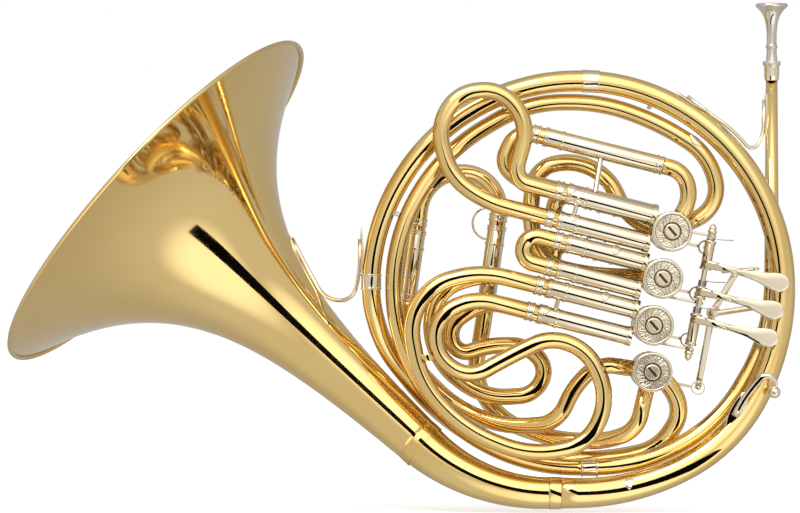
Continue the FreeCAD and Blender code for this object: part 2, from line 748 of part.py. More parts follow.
def make_thumb_lever():
    """The thumb lever turns about a pivot that points backwards."""
    pin = pin_place(VALVES[3])
    eye = pin + ACROSS * (size("lever_reach") + 9 - PIN_DROP) + PLANE
    pivot = eye + UP * size("crank_length")
    level = DEEP * 3.4
    turn = Rotation(UP, ACROSS, DEEP, "XYZ")
    bar = block("thumb_bar", size("crank_length") + 2, 5, 1.8, (eye + pivot) / 2 + level, turn)
    hub = collar("thumb_hub", "Sizes.hinge_rod_radius + 0.05", "4.2", pivot + DEEP * 1.2,
                 pivot + DEEP * 5.6)
    bore = cylinder("thumb_bore", "Sizes.hinge_rod_radius + 0.05", pivot, pivot + DEEP * 8)
    tip = cylinder("thumb_tip", "Sizes.crank_pin_radius", eye - DEEP * 2, eye + DEEP * 3.4)
    arm_end = pivot + UP * 34 + ACROSS * 12
    reach = arm_end - pivot
    arm_turn = Rotation(reach, Vector(), DEEP, "XZY")
    arm = block("thumb_arm", reach.Length, 4.6, 1.8, (pivot + arm_end) / 2 + level, arm_turn)
    pad_turn = Rotation(ACROSS * 0.96 + UP * 0.28, DEEP, UP, "XYZ")
    pad = block("thumb_pad", 27, 18, 2, arm_end + level + ACROSS * 2, pad_turn)
    solid = fuse("thumb_solid", bar, hub, tip, arm, pad)
    node("thumb_lever", cut("thumb_whole", solid, bore))
    stem = cylinder("thumb_stem", "Sizes.hinge_rod_radius", pivot - DEEP * 34, pivot + DEEP * 6.4)
    strut_end = Vector(139.5, 14, pivot.z + 6)
    strut = cylinder("thumb_strut", "2", pivot - DEEP * 32, strut_end)
    node("thumb_pivot", fuse("thumb_pivot_whole", stem, strut))
    return eye


def link(index, pin, eye):
    """A flat rod from a stop-arm pin to a crank: a close eye and an open ring."""
    plane = PLANE - DEEP * (size("link_depth") / 2)
    top = plane + DEEP * size("link_depth")
    near = cylinder(f"link_near_{index}", "2.9", pin + plane, pin + top)
    far = cylinder(f"link_far_{index}", "Sizes.link_ring + 1.1", eye + plane, eye + top)
    reach = eye - pin
    bar = block(f"link_bar_{index}", reach.Length, 2.4, size("link_depth"),
                (pin + eye) / 2 + PLANE, Rotation(reach, Vector(), DEEP, "XYZ"))
    pin_hole = cylinder(f"link_hole_{index}", "Sizes.pin_radius + 0.05", pin, pin + PLANE * 2)
    ring_hole = cylinder(f"link_window_{index}", "Sizes.link_ring", eye, eye + PLANE * 2)
    holes = fuse(f"link_holes_{index}", pin_hole, ring_hole)
    node(f"link_{index}", cut(f"link_whole_{index}", fuse(f"link_solid_{index}", near, far, bar),
                              holes))


def make_links(thumb_eye):
    for index in (1, 2, 3):
        pin = pin_place(VALVES[index - 1])
        eye = pin + ACROSS * (size("lever_reach") - PIN_DROP)
        link(index, pin, eye)
    link(4, pin_place(VALVES[3]), thumb_eye - PLANE)


def make_lever_bracket():
    """Posts that carry the hinge rod, each standing on a casing."""
    pieces = []
    for height, valve in ((36.5, 0), (-12, 1), (-45.6, 2)):
        rise = height - (VALVES[valve] - VALVE_2).dot(UP)
        foot = VALVES[valve] + UP * rise + ACROSS * (math.sqrt(CASING ** 2 - rise ** 2) - 0.5)
        foot.y = HINGE_DEPTH
        top = hinge_spot(height)
        eye = collar(f"post_eye_{valve}", "Sizes.hinge_rod_radius", "3.2",
                     top - UP * 1.1, top + UP * 1.1)
        post = cylinder(f"post_{valve}", "0.9", foot, top - ACROSS * 2.5)
        pieces.append(fuse(f"post_whole_{valve}", eye, post))
    node("lever_bracket", *pieces)


def make_springs():
    """A coiled return spring beside each finger lever's tube."""
    coils = []
    for low, high in ((33.1, 35.2), (-0.4, 4.6), (-19.8, -14.8)):
        coils.append(collar(f"spring_{len(coils)}", "Sizes.hinge_rod_radius + 0.3",
                            "Sizes.hinge_rod_radius + 1.1", hinge_spot(low), hinge_spot(high)))
    node("lever_springs", *coils)


make_mouthpiece()
make_levers()
make_links(make_thumb_lever())
make_lever_bracket()
make_springs()


# ---------------------------------------------------------------- ferrules, hook, braces

def branch_collar(name, start, direction, radius, length):
    """A nickel collar that begins at a joint and lies on the narrower side of it."""
    return collar(name, f"{radius} + 0.02", f"{radius} + Sizes.ferrule_wall", start,
                  start + direction.normalize() * length)


def make_ferrules():
    top = math.radians(88.5)
    node("branch_ferrules",
         branch_collar("tail_ferrule", TAIL, -MOUTHWARD, "Sizes.tail_radius", 9),
         branch_collar("foot_ferrule", BRANCH_FOOT, Vector(1, 0.034, 0),
                       "Sizes.branch_foot_radius", 9),
         branch_collar("left_ferrule", Vector(-RING, 0, 0), Vector(0, 0, 1),
                       "Sizes.branch_tip_radius + 0.14", 8),
         branch_collar("feed_ferrule", Vector(14, 0, -RING + 18), Vector(-1, 0, 0),
                       "Sizes.tube_radius", 9),
         branch_collar("top_ferrule", Vector(math.cos(top), 0, math.sin(top)) * RING,
                       Vector(1, 0, -0.045), "Sizes.branch_tip_radius + 1.15", 12))


def make_hook():
    """The little-finger hook: a strip off the ring's lower right, curling to a ball."""
    strip = bent_bar("hook_strip", [Vector(112, -12.5, -92), Vector(119, -15, -78),
                                    Vector(133, -19, -62), Vector(141, -18, -66),
                                    Vector(140, -17, -76)], "1.8")
    node("finger_hook", fuse("hook_whole", strip, ball("hook_ball", 4.6, Vector(140, -17, -75))))


def make_braces():
    """Wire braces from the bell and the mouthpipe, and short posts between tubes."""
    node("bell_brace", bent_bar("bell_brace_wire", [
        on_bell(92, 1.2), on_bell(116, 1.6), Vector(-180, 12, -9.5), Vector(-160, 0, -10),
        Vector(-155.2, -1, 10), Vector(-155, 0, 34)], "1.4"))
    node("leadpipe_brace", bent_bar("leadpipe_brace_wire", [
        Vector(79, 1, 136), Vector(114, 6, 110), Vector(126, 10, 96), Vector(134, 14, 108),
        Vector(134.5, 14, 134)], "1.3"))
    posts = []
    for valve, back in ((0, 70), (2, 70)):
        low = leg(valve, -1, back, -LAYER) + OVER * (SLEEVE - 0.2)
        high = leg(valve, 1, back, -LAYER) - OVER * (SLEEVE - 0.2)
        posts.append(cylinder(f"slide_post_{valve}", "1.5", low, high))
    for degrees, depth in ((68, 4.2), (112, 6.3), (158, 2.2)):
        turn = math.radians(degrees)
        outward = Vector(math.cos(turn), 0, math.sin(turn))
        low = outward * (RING - 15.6) + DEEP * depth
        slant = (outward * RING - low).normalize()
        posts.append(cylinder(f"ring_post_{degrees}", "1.6", low + slant * (TUBE - 0.1),
                              outward * RING - slant * 6.9))
    posts.append(cylinder("long_post", "1.8", Vector(16.5, -9.9, 90.9), Vector(12.5, -18.7, 67.3)))
    return posts


make_ferrules()
make_hook()
POSTS = make_braces()
node("tube_posts", *POSTS)


# ---------------------------------------------------------------- check and write

def write_parts():
    doc.recompute()
    failed = [item.Name for item in doc.Objects if {"Invalid", "Error"} & set(item.State)]
    if failed:
        raise RuntimeError("failed objects: " + ", ".join(failed))
    for label, item in NODES.items():
        if item.Shape.isNull() or not item.Shape.isValid() or not item.Shape.Solids:
            raise RuntimeError("bad shape: " + label)
    os.makedirs("parts", exist_ok=True)
    for label, item in NODES.items():
        item.Shape.exportStep(f"parts/{label}.step")
        print(label, len(item.Shape.Solids), round(item.Shape.Volume), "mm3")
    print(len(NODES), "nodes")


write_parts()
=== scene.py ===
"""Double horn: polished brass tubing with nickel-silver slides, caps and levers.

Frame as packed: +X to the player, +Y away from the valve caps, +Z up, origin at the ring's centre.
Lengths here are written in millimetres; make_piece turns them into metres.
"""

import math

import bpy
import numpy as np
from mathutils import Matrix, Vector


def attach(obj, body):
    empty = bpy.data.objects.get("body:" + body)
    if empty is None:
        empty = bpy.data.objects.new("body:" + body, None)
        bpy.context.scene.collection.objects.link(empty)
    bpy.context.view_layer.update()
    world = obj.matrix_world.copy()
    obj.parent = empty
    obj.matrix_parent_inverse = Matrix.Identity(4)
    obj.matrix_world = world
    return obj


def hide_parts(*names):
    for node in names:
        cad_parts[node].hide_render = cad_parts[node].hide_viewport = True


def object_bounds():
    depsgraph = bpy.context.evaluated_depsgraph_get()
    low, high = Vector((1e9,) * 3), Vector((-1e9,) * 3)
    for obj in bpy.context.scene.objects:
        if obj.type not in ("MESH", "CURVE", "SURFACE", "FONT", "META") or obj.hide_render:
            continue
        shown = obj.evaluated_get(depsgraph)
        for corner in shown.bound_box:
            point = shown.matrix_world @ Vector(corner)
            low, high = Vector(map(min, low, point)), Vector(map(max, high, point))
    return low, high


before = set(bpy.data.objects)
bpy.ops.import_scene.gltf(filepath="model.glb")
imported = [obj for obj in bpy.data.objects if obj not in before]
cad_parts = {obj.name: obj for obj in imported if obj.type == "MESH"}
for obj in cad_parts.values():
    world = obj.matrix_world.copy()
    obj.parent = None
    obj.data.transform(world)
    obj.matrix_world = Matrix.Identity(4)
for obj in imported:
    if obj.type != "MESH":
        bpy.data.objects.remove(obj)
CAD_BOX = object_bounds()
MM = 0.001


# ---------------------------------------------------------------- places on the horn

def unit(vector):
    return vector / np.linalg.norm(vector, axis=-1, keepdims=True)


def spot(x, y, z):
    return np.array([x, y, z], float)


TILT, SLOPE = math.radians(11), math.radians(13.9)
UP = spot(math.sin(TILT), 0, math.cos(TILT))              # along the valve line
ACROSS = spot(math.cos(TILT), 0, -math.sin(TILT))         # square to it, to the levers
ALONG = spot(math.cos(SLOPE), 0, -math.sin(SLOPE))        # slide legs, towards the valves
OVER = spot(math.sin(SLOPE), 0, math.cos(SLOPE))          # from one leg up to the next
DEEP = spot(0, 1, 0)
RISE = unit(spot(0.139, 0, 0.990))                        # tuning slide legs
RING = 147.0
TUBE, SLEEVE, CASING = 6.0, 6.46, 13.8
CASING_HALF, CASING_BORE, CAP_RADIUS = 29.0, 11.8, 14.3
LIP_RIM, MOUTHPIECE_LENGTH = 11.6, 53.5
HINGE_BORE, CRANK_PIN = 1.95, 1.4
BELL_WALL, RIM_WIRE = 0.6, 1.6
PITCH = 34.0
LAYER = 21.0
VALVE_2 = spot(60, 0, 6)
VALVES = [VALVE_2 + UP * PITCH, VALVE_2, VALVE_2 - UP * PITCH]
VALVES.append(VALVES[2] + spot(-1, 0, -0.97 * PITCH))
SWING, DROP = math.radians(10.5), math.radians(42.3)
MOUTHWARD = spot(-math.cos(SWING) * math.cos(DROP), math.sin(SWING),
                 math.cos(SWING) * math.sin(DROP))
BRANCH_FOOT = spot(-20, -9, -RING)
TAIL_CORNER = spot(-73, -10.8, -RING)
TAIL = TAIL_CORNER + MOUTHWARD * 56
BELL_LENGTH, BELL_RADIUS, TAIL_RADIUS, FOOT_RADIUS = 259.0, 150.0, 17.4, 11.4
THROAT_RADIUS, FLARE_REACH = 24.0, 55.0
TIP_RADIUS = 6.6
RIM_CENTRE = TAIL + MOUTHWARD * BELL_LENGTH
HINGE_DEPTH = 42 - 55.1
PIN_DROP = 8.1 / math.sqrt(2)


def on_ring(degrees, radius, depth):
    """A corner of the twelve-sided route whose arcs follow a circle of this radius."""
    reach, turn = radius / math.cos(math.radians(15)), math.radians(degrees)
    return spot(reach * math.cos(turn), depth, reach * math.sin(turn))


def leg(valve, side, back, depth):
    """A place on a slide leg: side +1 or -1, back mm left of the valve, at a depth."""
    return VALVES[valve] + OVER * (side * 9.7 - 1.8) - ALONG * back + DEEP * depth


def hinge_spot(height):
    """A place on the lever hinge axis, height measured along the valve line."""
    return VALVE_2 + ACROSS * 29 + UP * height + DEEP * HINGE_DEPTH


# ---------------------------------------------------------------- surfaces

def bend(corners, limit=1e9, closed=False, steps=12):
    """Straight runs joined by arcs: each arc starts just under half a run from its corner, or limit."""
    route = np.asarray(corners, float)
    if closed:
        route = np.concatenate([route[-1:], route, route[:1]])
    back, ahead = route[:-2] - route[1:-1], route[2:] - route[1:-1]
    room = np.stack([np.linalg.norm(back, axis=1), np.linalg.norm(ahead, axis=1)]) * 0.49
    if not closed:
        room[0, 0] *= 2
        room[1, -1] *= 2
    reach = np.minimum(room.min(axis=0), limit)[:, None]
    back, ahead = unit(back), unit(ahead)
    half = np.arccos(np.clip((back * ahead).sum(axis=1), -1, 1))[:, None] / 2
    centre = route[1:-1] + unit(back + ahead) * reach / np.cos(half)
    start, end = route[1:-1] + back * reach - centre, route[1:-1] + ahead * reach - centre
    turn = (math.pi - 2 * half)[:, None]
    share = np.linspace(0, 1, steps)[None, :, None]
    arcs = np.sin((1 - share) * turn) * start[:, None] + np.sin(share * turn) * end[:, None]
    points = (centre[:, None] + arcs / np.sin(turn)).reshape(-1, 3)
    return points if closed else np.concatenate([route[:1], points, route[-1:]])


def rounded(outline, ease=0.25, closed=False, steps=4):
    """A flat outline with its corners eased by small arcs."""
    flat = np.column_stack([outline, np.zeros(len(outline))])
    return bend(flat, ease, closed, steps)[:, :2]


def skin(points, loop=False):
    """Faces over a grid whose columns close round; rows close too, or each end is a fan."""
    rows, columns = points.shape[:2]
    index = np.arange(rows * columns).reshape(rows, columns)
    beside = np.roll(index, -1, axis=1)
    if loop:
        above, above_beside = np.roll(index, -1, axis=0), np.roll(beside, -1, axis=0)
        quads = np.stack([index, beside, above_beside, above], axis=-1).reshape(-1, 4)
        fans = np.zeros((0, 3), int)
        places = points.reshape(-1, 3)
    else:
        quads = np.stack([index[:-1], beside[:-1], beside[1:], index[1:]], axis=-1).reshape(-1, 4)
        first, last = rows * columns, rows * columns + 1
        fans = np.concatenate([
            np.stack([beside[0], index[0], np.full(columns, first)], axis=-1),
            np.stack([index[-1], beside[-1], np.full(columns, last)], axis=-1)])
        ends = np.stack([points[0].mean(axis=0), points[-1].mean(axis=0)])
        places = np.concatenate([points.reshape(-1, 3), ends])
    return outward(places, quads, fans)


def outward(places, quads, fans):
    """Turn every face round if the closed form's volume comes out negative."""
    thirds = np.concatenate([quads[:, :3], quads[:, [0, 2, 3]], fans])
    a, b, c = (places[thirds[:, k]] - places.mean(axis=0) for k in range(3))
    if (a * np.cross(b, c)).sum() < 0:
        quads, fans = quads[:, ::-1], fans[:, ::-1]
    return places, quads, fans


def square_to(axis):
    """Two directions square to an axis and to each other."""
    helper = DEEP if abs(axis[1]) < 0.9 else spot(0, 0, 1)
    side = unit(np.cross(axis, helper))
    return side, np.cross(side, axis)


def tube(path, radius, around=36, flat=1.0, power=2.0, helper=DEEP):
    """A section carried along a path: centre + r (c side + s flat lift), where c and s are the
    cosine and sine round the section, raised to 2/power for a squarer one."""
    run = unit(np.gradient(path, axis=0))
    side = unit(np.cross(run, helper))
    lift = np.cross(side, run)
    angle = np.linspace(0, 2 * math.pi, around, endpoint=False)
    c, s = (np.sign(w) * np.abs(w) ** (2 / power) for w in (np.cos(angle), np.sin(angle)))
    reach = np.broadcast_to(np.asarray(radius, float), len(path))[:, None, None]
    ring = c[None, :, None] * side[:, None] + flat * s[None, :, None] * lift[:, None]
    return skin(path[:, None] + reach * ring)


def lathe(profile, base, axis, around=72, loop=False):
    """A profile of (radius, height) pairs turned round an axis through base."""
    profile = np.asarray(profile, float)
    axis = unit(axis)
    side, lift = square_to(axis)
    angle = np.linspace(0, 2 * math.pi, around, endpoint=False)[:, None]
    ring = np.cos(angle) * side + np.sin(angle) * lift
    radius = np.maximum(profile[:, 0], 0.004)[:, None, None]
    return skin(base + radius * ring[None] + profile[:, 1][:, None, None] * axis, loop)


def band(start, axis, length, inner, outer, ease=0.3, around=56):
    """A plain ring: a rounded oblong section turned round an axis."""
    section = [(inner, 0), (outer, 0), (outer, length), (inner, length)]
    return lathe(rounded(section, ease, True), start, axis, around, True)


def beaded(start, axis, length, inner, wall=0.35, bead=0.95, bead_length=1.2):
    """A ferrule: a thin wall with a half-round bead at each end."""
    low, high = inner + wall, inner + bead
    section = [(inner, 0), (high, 0), (high, bead_length), (low, bead_length + 0.1),
               (low, length - bead_length - 0.1), (high, length - bead_length),
               (high, length), (inner, length)]
    return lathe(rounded(section, 0.45, True, 6), start, axis, 64, True)


def rod(start, end, radius):
    """A round bar with eased ends."""
    length = np.linalg.norm(end - start)
    return lathe(rounded([(0, 0), (radius, 0), (radius, length), (0, length)], 0.3),
                 start, end - start, 28)


def knob(centre, radius):
    """A ball: radius sin t out and radius cos t along, for t from pole to pole."""
    turn = np.linspace(0, math.pi, 20)
    return lathe(np.column_stack([np.sin(turn), -np.cos(turn)]) * radius, centre, spot(0, 0, 1), 36)


def plaque(outline, across, upward, face, base, thickness, crown):
    """A flat plate: its rounded outline is drawn in towards the middle over a crowned front,
    round the edge and back over a flat rear."""
    edge = rounded(outline, 1e9, True, 9)
    middle = edge.mean(axis=0)
    front = np.linspace(0.01, 0.94, 12)
    rim = np.array([0.975, 0.995, 1.0, 0.995, 0.975])
    shrink = np.concatenate([front, rim, front[::-1]])
    height = np.concatenate([thickness + crown * (1 - front ** 2),
                             thickness * np.array([0.96, 0.8, 0.5, 0.2, 0.04]), 0 * front])
    flat = middle + shrink[:, None, None] * (edge - middle)[None]
    points = base + flat[..., :1] * across + flat[..., 1:] * upward + height[:, None, None] * face
    return skin(points)


def saddle(centre, run, out, radius, length, width, round_tube=False):
    """A leaf-shaped foot wrapped on a tube: its half width falls from the middle to both tips, and
    its lens section is bent round the tube's circle; its length lies along the tube or round it."""
    share = np.linspace(-0.995, 0.995, 34)[:, None]
    half = width / 2 * (1 - np.abs(share) ** 1.3) ** 0.85
    turn = np.linspace(0, 2 * math.pi, 24, endpoint=False)[None]
    lens = np.sign(np.sin(turn)) * np.abs(np.sin(turn)) ** 0.6
    rise = radius + 0.7 * np.minimum(1, half / width * 6) * lens
    slide, swing = share * length / 2 + 0 * turn, half * np.cos(turn)
    if round_tube:
        slide, swing = swing, slide
    swing = swing / radius
    beside = np.cross(unit(run), unit(out))
    points = (centre + slide[..., None] * unit(run)
              + (rise * np.cos(swing))[..., None] * unit(out)
              + (rise * np.sin(swing))[..., None] * beside)
    return skin(points)


def make_piece(name, parts, material, body, *nodes, slot="nickel_silver", engraving=None):
    """Put the parts into one mesh, in metres, riding on a body of the frame; engraving is a mask."""
    counts = np.cumsum([0] + [len(part[0]) for part in parts])
    places = np.concatenate([part[0] for part in parts]) * MM
    quads = np.concatenate([part[1] + at for part, at in zip(parts, counts)])
    fans = np.concatenate([part[2] + at for part, at in zip(parts, counts)])
    sides = np.concatenate([np.full(len(quads), 4), np.full(len(fans), 3)])
    mesh = bpy.data.meshes.new(name)
    mesh.vertices.add(len(places))
    mesh.vertices.foreach_set("co", places.ravel().astype(np.float32))
    mesh.loops.add(int(sides.sum()))
    mesh.loops.foreach_set("vertex_index", np.concatenate([quads.ravel(), fans.ravel()]).astype(np.int32))
    mesh.polygons.add(len(sides))
    mesh.polygons.foreach_set("loop_start", np.concatenate([[0], np.cumsum(sides)[:-1]]).astype(np.int32))
    mesh.polygons.foreach_set("use_smooth", np.ones(len(sides), bool))
    mesh.update(calc_edges=True)
    mesh.materials.append(material)
    if engraving is not None:
        mask = mesh.attributes.new("engraving", "FLOAT", "POINT")
        mask.data.foreach_set("value", engraving.astype(np.float32))
    piece = bpy.data.objects.new(name, mesh)
    bpy.context.scene.collection.objects.link(piece)
    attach(piece, body)
    if nodes:
        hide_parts(*nodes)
    return piece


# ---------------------------------------------------------------- finishes

def group_socket(group, name, kind, default=None, output=False):
    """Add one named input, or output, to a node group."""
    made = group.interface.new_socket(name, in_out="OUTPUT" if output else "INPUT", socket_type=kind)
    if default is not None:
        made.default_value = default


def build_polish():
    """Handled, lacquered metal: cloudy tone, faint smears in the gloss, and hairline scratches."""
    group = bpy.data.node_groups.new("handled_polish", "ShaderNodeTree")
    group_socket(group, "Position", "NodeSocketVector")
    group_socket(group, "Fresh", "NodeSocketColor", (0.9, 0.6, 0.2, 1))
    group_socket(group, "Toned", "NodeSocketColor", (0.8, 0.5, 0.15, 1))
    group_socket(group, "Cloud Size", "NodeSocketFloat", 14)
    group_socket(group, "Gloss", "NodeSocketFloat", 0.08)
    group_socket(group, "Smear", "NodeSocketFloat", 0.08)
    group_socket(group, "Color", "NodeSocketColor", output=True)
    group_socket(group, "Roughness", "NodeSocketFloat", output=True)
    group_socket(group, "Height", "NodeSocketFloat", output=True)
    nodes, links = group.nodes, group.links
    entry, leave = nodes.new("NodeGroupInput"), nodes.new("NodeGroupOutput")
    cloud = nodes.new("ShaderNodeTexNoise")
    cloud.inputs["Detail"].default_value = 3
    links.new(entry.outputs["Position"], cloud.inputs["Vector"])
    links.new(entry.outputs["Cloud Size"], cloud.inputs["Scale"])
    soft = nodes.new("ShaderNodeMapRange")
    soft.interpolation_type = "SMOOTHSTEP"
    soft.inputs["From Min"].default_value = 0.35
    soft.inputs["From Max"].default_value = 0.7
    links.new(cloud.outputs["Fac"], soft.inputs["Value"])
    tone = nodes.new("ShaderNodeMix")
    tone.data_type = "RGBA"
    links.new(soft.outputs["Result"], tone.inputs[0])
    links.new(entry.outputs["Fresh"], tone.inputs[6])
    links.new(entry.outputs["Toned"], tone.inputs[7])
    links.new(tone.outputs[2], leave.inputs["Color"])
    smear = nodes.new("ShaderNodeTexNoise")
    smear.inputs["Scale"].default_value = 60
    smear.inputs["Detail"].default_value = 5
    smear.inputs["Distortion"].default_value = 1.4
    links.new(entry.outputs["Position"], smear.inputs["Vector"])
    hard = nodes.new("ShaderNodeMapRange")
    hard.inputs["From Min"].default_value = 0.42
    hard.inputs["From Max"].default_value = 0.72
    links.new(smear.outputs["Fac"], hard.inputs["Value"])
    scratch = nodes.new("ShaderNodeTexNoise")
    scratch.inputs["Scale"].default_value = 900
    scratch.inputs["Detail"].default_value = 1
    stretch = nodes.new("ShaderNodeVectorMath")
    stretch.operation = "MULTIPLY"
    stretch.inputs[1].default_value = (1, 0.12, 0.35)
    links.new(entry.outputs["Position"], stretch.inputs[0])
    links.new(stretch.outputs[0], scratch.inputs["Vector"])
    rough = nodes.new("ShaderNodeMath")
    rough.operation = "MULTIPLY_ADD"
    links.new(hard.outputs["Result"], rough.inputs[0])
    links.new(entry.outputs["Smear"], rough.inputs[1])
    links.new(entry.outputs["Gloss"], rough.inputs[2])
    links.new(rough.outputs[0], leave.inputs["Roughness"])
    links.new(scratch.outputs["Fac"], leave.inputs["Height"])
    return group


POLISH = build_polish()


def finish(name, fresh, toned, gloss, smear, metal=1.0, cloud=14, bump=0.02, coat=0.0, ripple=0.0,
           patina=None, edge=None):
    """One finish: the handled_polish group into a shader, with an optional slow ripple in the wall, and an
    optional painted dark reflection (edge: colour and share) mixed into the base colour at grazing view
    angles.
    """
    material = bpy.data.materials.new(name)
    material.use_nodes = True
    nodes, links = material.node_tree.nodes, material.node_tree.links
    shader = nodes["Principled BSDF"]
    shader.inputs["Metallic"].default_value = metal
    shader.inputs["Coat Weight"].default_value = coat
    shader.inputs["Coat Roughness"].default_value = 0.03
    place = nodes.new("ShaderNodeTexCoord")
    polish = nodes.new("ShaderNodeGroup")
    polish.node_tree = POLISH
    polish.inputs["Fresh"].default_value = (*fresh, 1)
    polish.inputs["Toned"].default_value = (*toned, 1)
    polish.inputs["Cloud Size"].default_value = cloud
    polish.inputs["Gloss"].default_value = gloss
    polish.inputs["Smear"].default_value = smear
    links.new(place.outputs["Object"], polish.inputs["Position"])
    links.new(polish.outputs["Color"], shader.inputs["Base Color"])
    # painted reflection: Layer Weight facing, raised to a power, mixes the edge colour into the base colour
    # towards grazing angles, standing in for dark surroundings reflected at the rims
    if edge:
        glance = nodes.new("ShaderNodeLayerWeight")
        glance.inputs["Blend"].default_value = 0.5
        steep = nodes.new("ShaderNodeMath")
        steep.operation = "POWER"
        steep.inputs[1].default_value = 3.2
        share = nodes.new("ShaderNodeMath")
        share.operation = "MULTIPLY"
        share.inputs[1].default_value = edge[1]
        edge_reflection_paint = nodes.new("ShaderNodeMix")
        edge_reflection_paint.data_type = "RGBA"
        edge_reflection_paint.inputs[7].default_value = (*edge[0], 1)
        links.new(glance.outputs["Facing"], steep.inputs[0])
        links.new(steep.outputs[0], share.inputs[0])
        links.new(share.outputs[0], edge_reflection_paint.inputs[0])
        links.new(polish.outputs["Color"], edge_reflection_paint.inputs[6])
        links.new(edge_reflection_paint.outputs[2], shader.inputs["Base Color"])
    if patina:
        cut = nodes.new("ShaderNodeAttribute")
        cut.attribute_name = "engraving"
        dark = nodes.new("ShaderNodeMix")
        dark.data_type = "RGBA"
        dark.inputs[7].default_value = (*patina, 1)
        links.new(cut.outputs["Fac"], dark.inputs[0])
        links.new(polish.outputs["Color"], dark.inputs[6])
        links.new(dark.outputs[2], shader.inputs["Base Color"])
    links.new(polish.outputs["Roughness"], shader.inputs["Roughness"])
    fine = nodes.new("ShaderNodeBump")
    fine.inputs["Strength"].default_value = bump
    fine.inputs["Distance"].default_value = 0.0002
    links.new(polish.outputs["Height"], fine.inputs["Height"])
    if ripple:
        wave = nodes.new("ShaderNodeTexNoise")
        wave.inputs["Scale"].default_value = 55
        wave.inputs["Detail"].default_value = 0
        links.new(place.outputs["Object"], wave.inputs["Vector"])
        slow = nodes.new("ShaderNodeBump")
        slow.inputs["Strength"].default_value = ripple
        slow.inputs["Distance"].default_value = 0.001
        links.new(wave.outputs["Fac"], slow.inputs["Height"])
        links.new(slow.outputs["Normal"], fine.inputs["Normal"])
    links.new(fine.outputs["Normal"], shader.inputs["Normal"])
    return material


# edge on these three finishes is a painted dark reflection: a brown mixed into the colour towards the grazing
# rims of the tubes, the bell and the nickel parts
BRASS = finish("lacquered_brass", (0.87, 0.64, 0.26), (0.82, 0.57, 0.20), 0.03, 0.04, ripple=0.04, coat=0.4,
               edge=((0.16, 0.055, 0.01), 0.92))
BELL_BRASS = finish("bell_brass", (0.87, 0.65, 0.28), (0.83, 0.59, 0.23), 0.045, 0.04, cloud=6, ripple=0.015,
                    coat=0.2, edge=((0.42, 0.24, 0.06), 0.55))
NICKEL = finish("nickel_silver", (0.86, 0.77, 0.60), (0.77, 0.66, 0.47), 0.04, 0.05, ripple=0.03,
                edge=((0.13, 0.06, 0.02), 0.9))
CAP_NICKEL = finish("cap_nickel", (0.84, 0.76, 0.60), (0.76, 0.66, 0.49), 0.2, 0.12, cloud=90, bump=0.1,
                    patina=(0.13, 0.075, 0.03))
SILVER = finish("silver_plate", (0.80, 0.77, 0.70), (0.68, 0.63, 0.54), 0.06, 0.08, ripple=0.02)
ROTOR = finish("rotor_brass", (0.72, 0.50, 0.20), (0.58, 0.38, 0.15), 0.25, 0.12)
CORK = finish("bumper", (0.05, 0.04, 0.035), (0.09, 0.07, 0.05), 0.75, 0.15, metal=0.0, cloud=300, bump=0.4)
STEEL = finish("spring_steel", (0.55, 0.55, 0.56), (0.42, 0.41, 0.40), 0.22, 0.12)


# ---------------------------------------------------------------- bell and branches

def bell_radius_at(distance):
    """Bell radius at a distance from the rim: a falling exponential plus a slow cone."""
    opening = BELL_RADIUS - THROAT_RADIUS
    foot = opening * math.exp(-BELL_LENGTH / FLARE_REACH)
    cone = THROAT_RADIUS - (THROAT_RADIUS - TAIL_RADIUS + foot) * distance / BELL_LENGTH
    return cone + opening * np.exp(-distance / FLARE_REACH)


BELL_SIDE = unit(spot(MOUTHWARD[2], 0, -MOUTHWARD[0]))    # square to the bell's axis, to the ring


def on_bell(distance, over):
    """A place beside the bell, over mm outside its wall, on the side of the ring."""
    return RIM_CENTRE - MOUTHWARD * distance + BELL_SIDE * (bell_radius_at(distance) + over)


def make_bell():
    """A thin spun wall, out along the flare and back inside it, with a rolled rim."""
    along = BELL_LENGTH * np.linspace(1, 0, 110) ** 1.8
    outside = np.column_stack([bell_radius_at(along), -along])
    inside = outside[::-1] - [BELL_WALL, 0]
    inside[0] += [0.45, 0.6]
    turn = np.linspace(0, 2 * math.pi, 16, endpoint=False)
    roll = np.column_stack([BELL_RADIUS + RIM_WIRE + RIM_WIRE * np.cos(turn), RIM_WIRE * np.sin(turn)])
    bell = lathe(np.concatenate([outside, inside]), RIM_CENTRE, MOUTHWARD, 240, True)
    make_piece("bell", [bell], BELL_BRASS, "horn", "bell_flare", slot="lacquered_brass")
    make_piece("bell_rim_roll", [lathe(roll, RIM_CENTRE, MOUTHWARD, 240, True)], BRASS, "horn",
               "bell_rim_wire", slot="lacquered_brass")


def taper(path, start, end, shape):
    """Radius along a path: from start to end as shape(share of the length)."""
    gone = np.concatenate([[0], np.cumsum(np.linalg.norm(np.diff(path, axis=0), axis=1))])
    return start + (end - start) * shape(gone / gone[-1])


def to_casing(path, valve):
    """A path cut off inside a casing's wall, at its valve end."""
    gap = (path - VALVES[valve])[:, [0, 2]]
    keep = path[np.linalg.norm(gap, axis=1) > CASING]
    inward = unit(VALVES[valve] - keep[-1] + DEEP * (keep[-1][1] - VALVES[valve][1]))
    reach = np.linalg.norm((VALVES[valve] - keep[-1])[[0, 2]]) - CASING + 1.4
    return np.concatenate([keep, [keep[-1] + inward * reach]])


def plain_tube(name, corners, valve=None, radius=TUBE, body="horn", both=None):
    """A drawn tube: a circle of one radius carried along straight runs joined by arcs, cut off
    inside the wall of the valve it ends at, and of the one it starts at if both is given."""
    path = bend(corners)
    if valve is not None:
        path = to_casing(path, valve)
    if both is not None:
        path = to_casing(path[::-1], both)[::-1]
    make_piece(name + "_drawn", [tube(path, radius)], BRASS, body, name, slot="lacquered_brass")


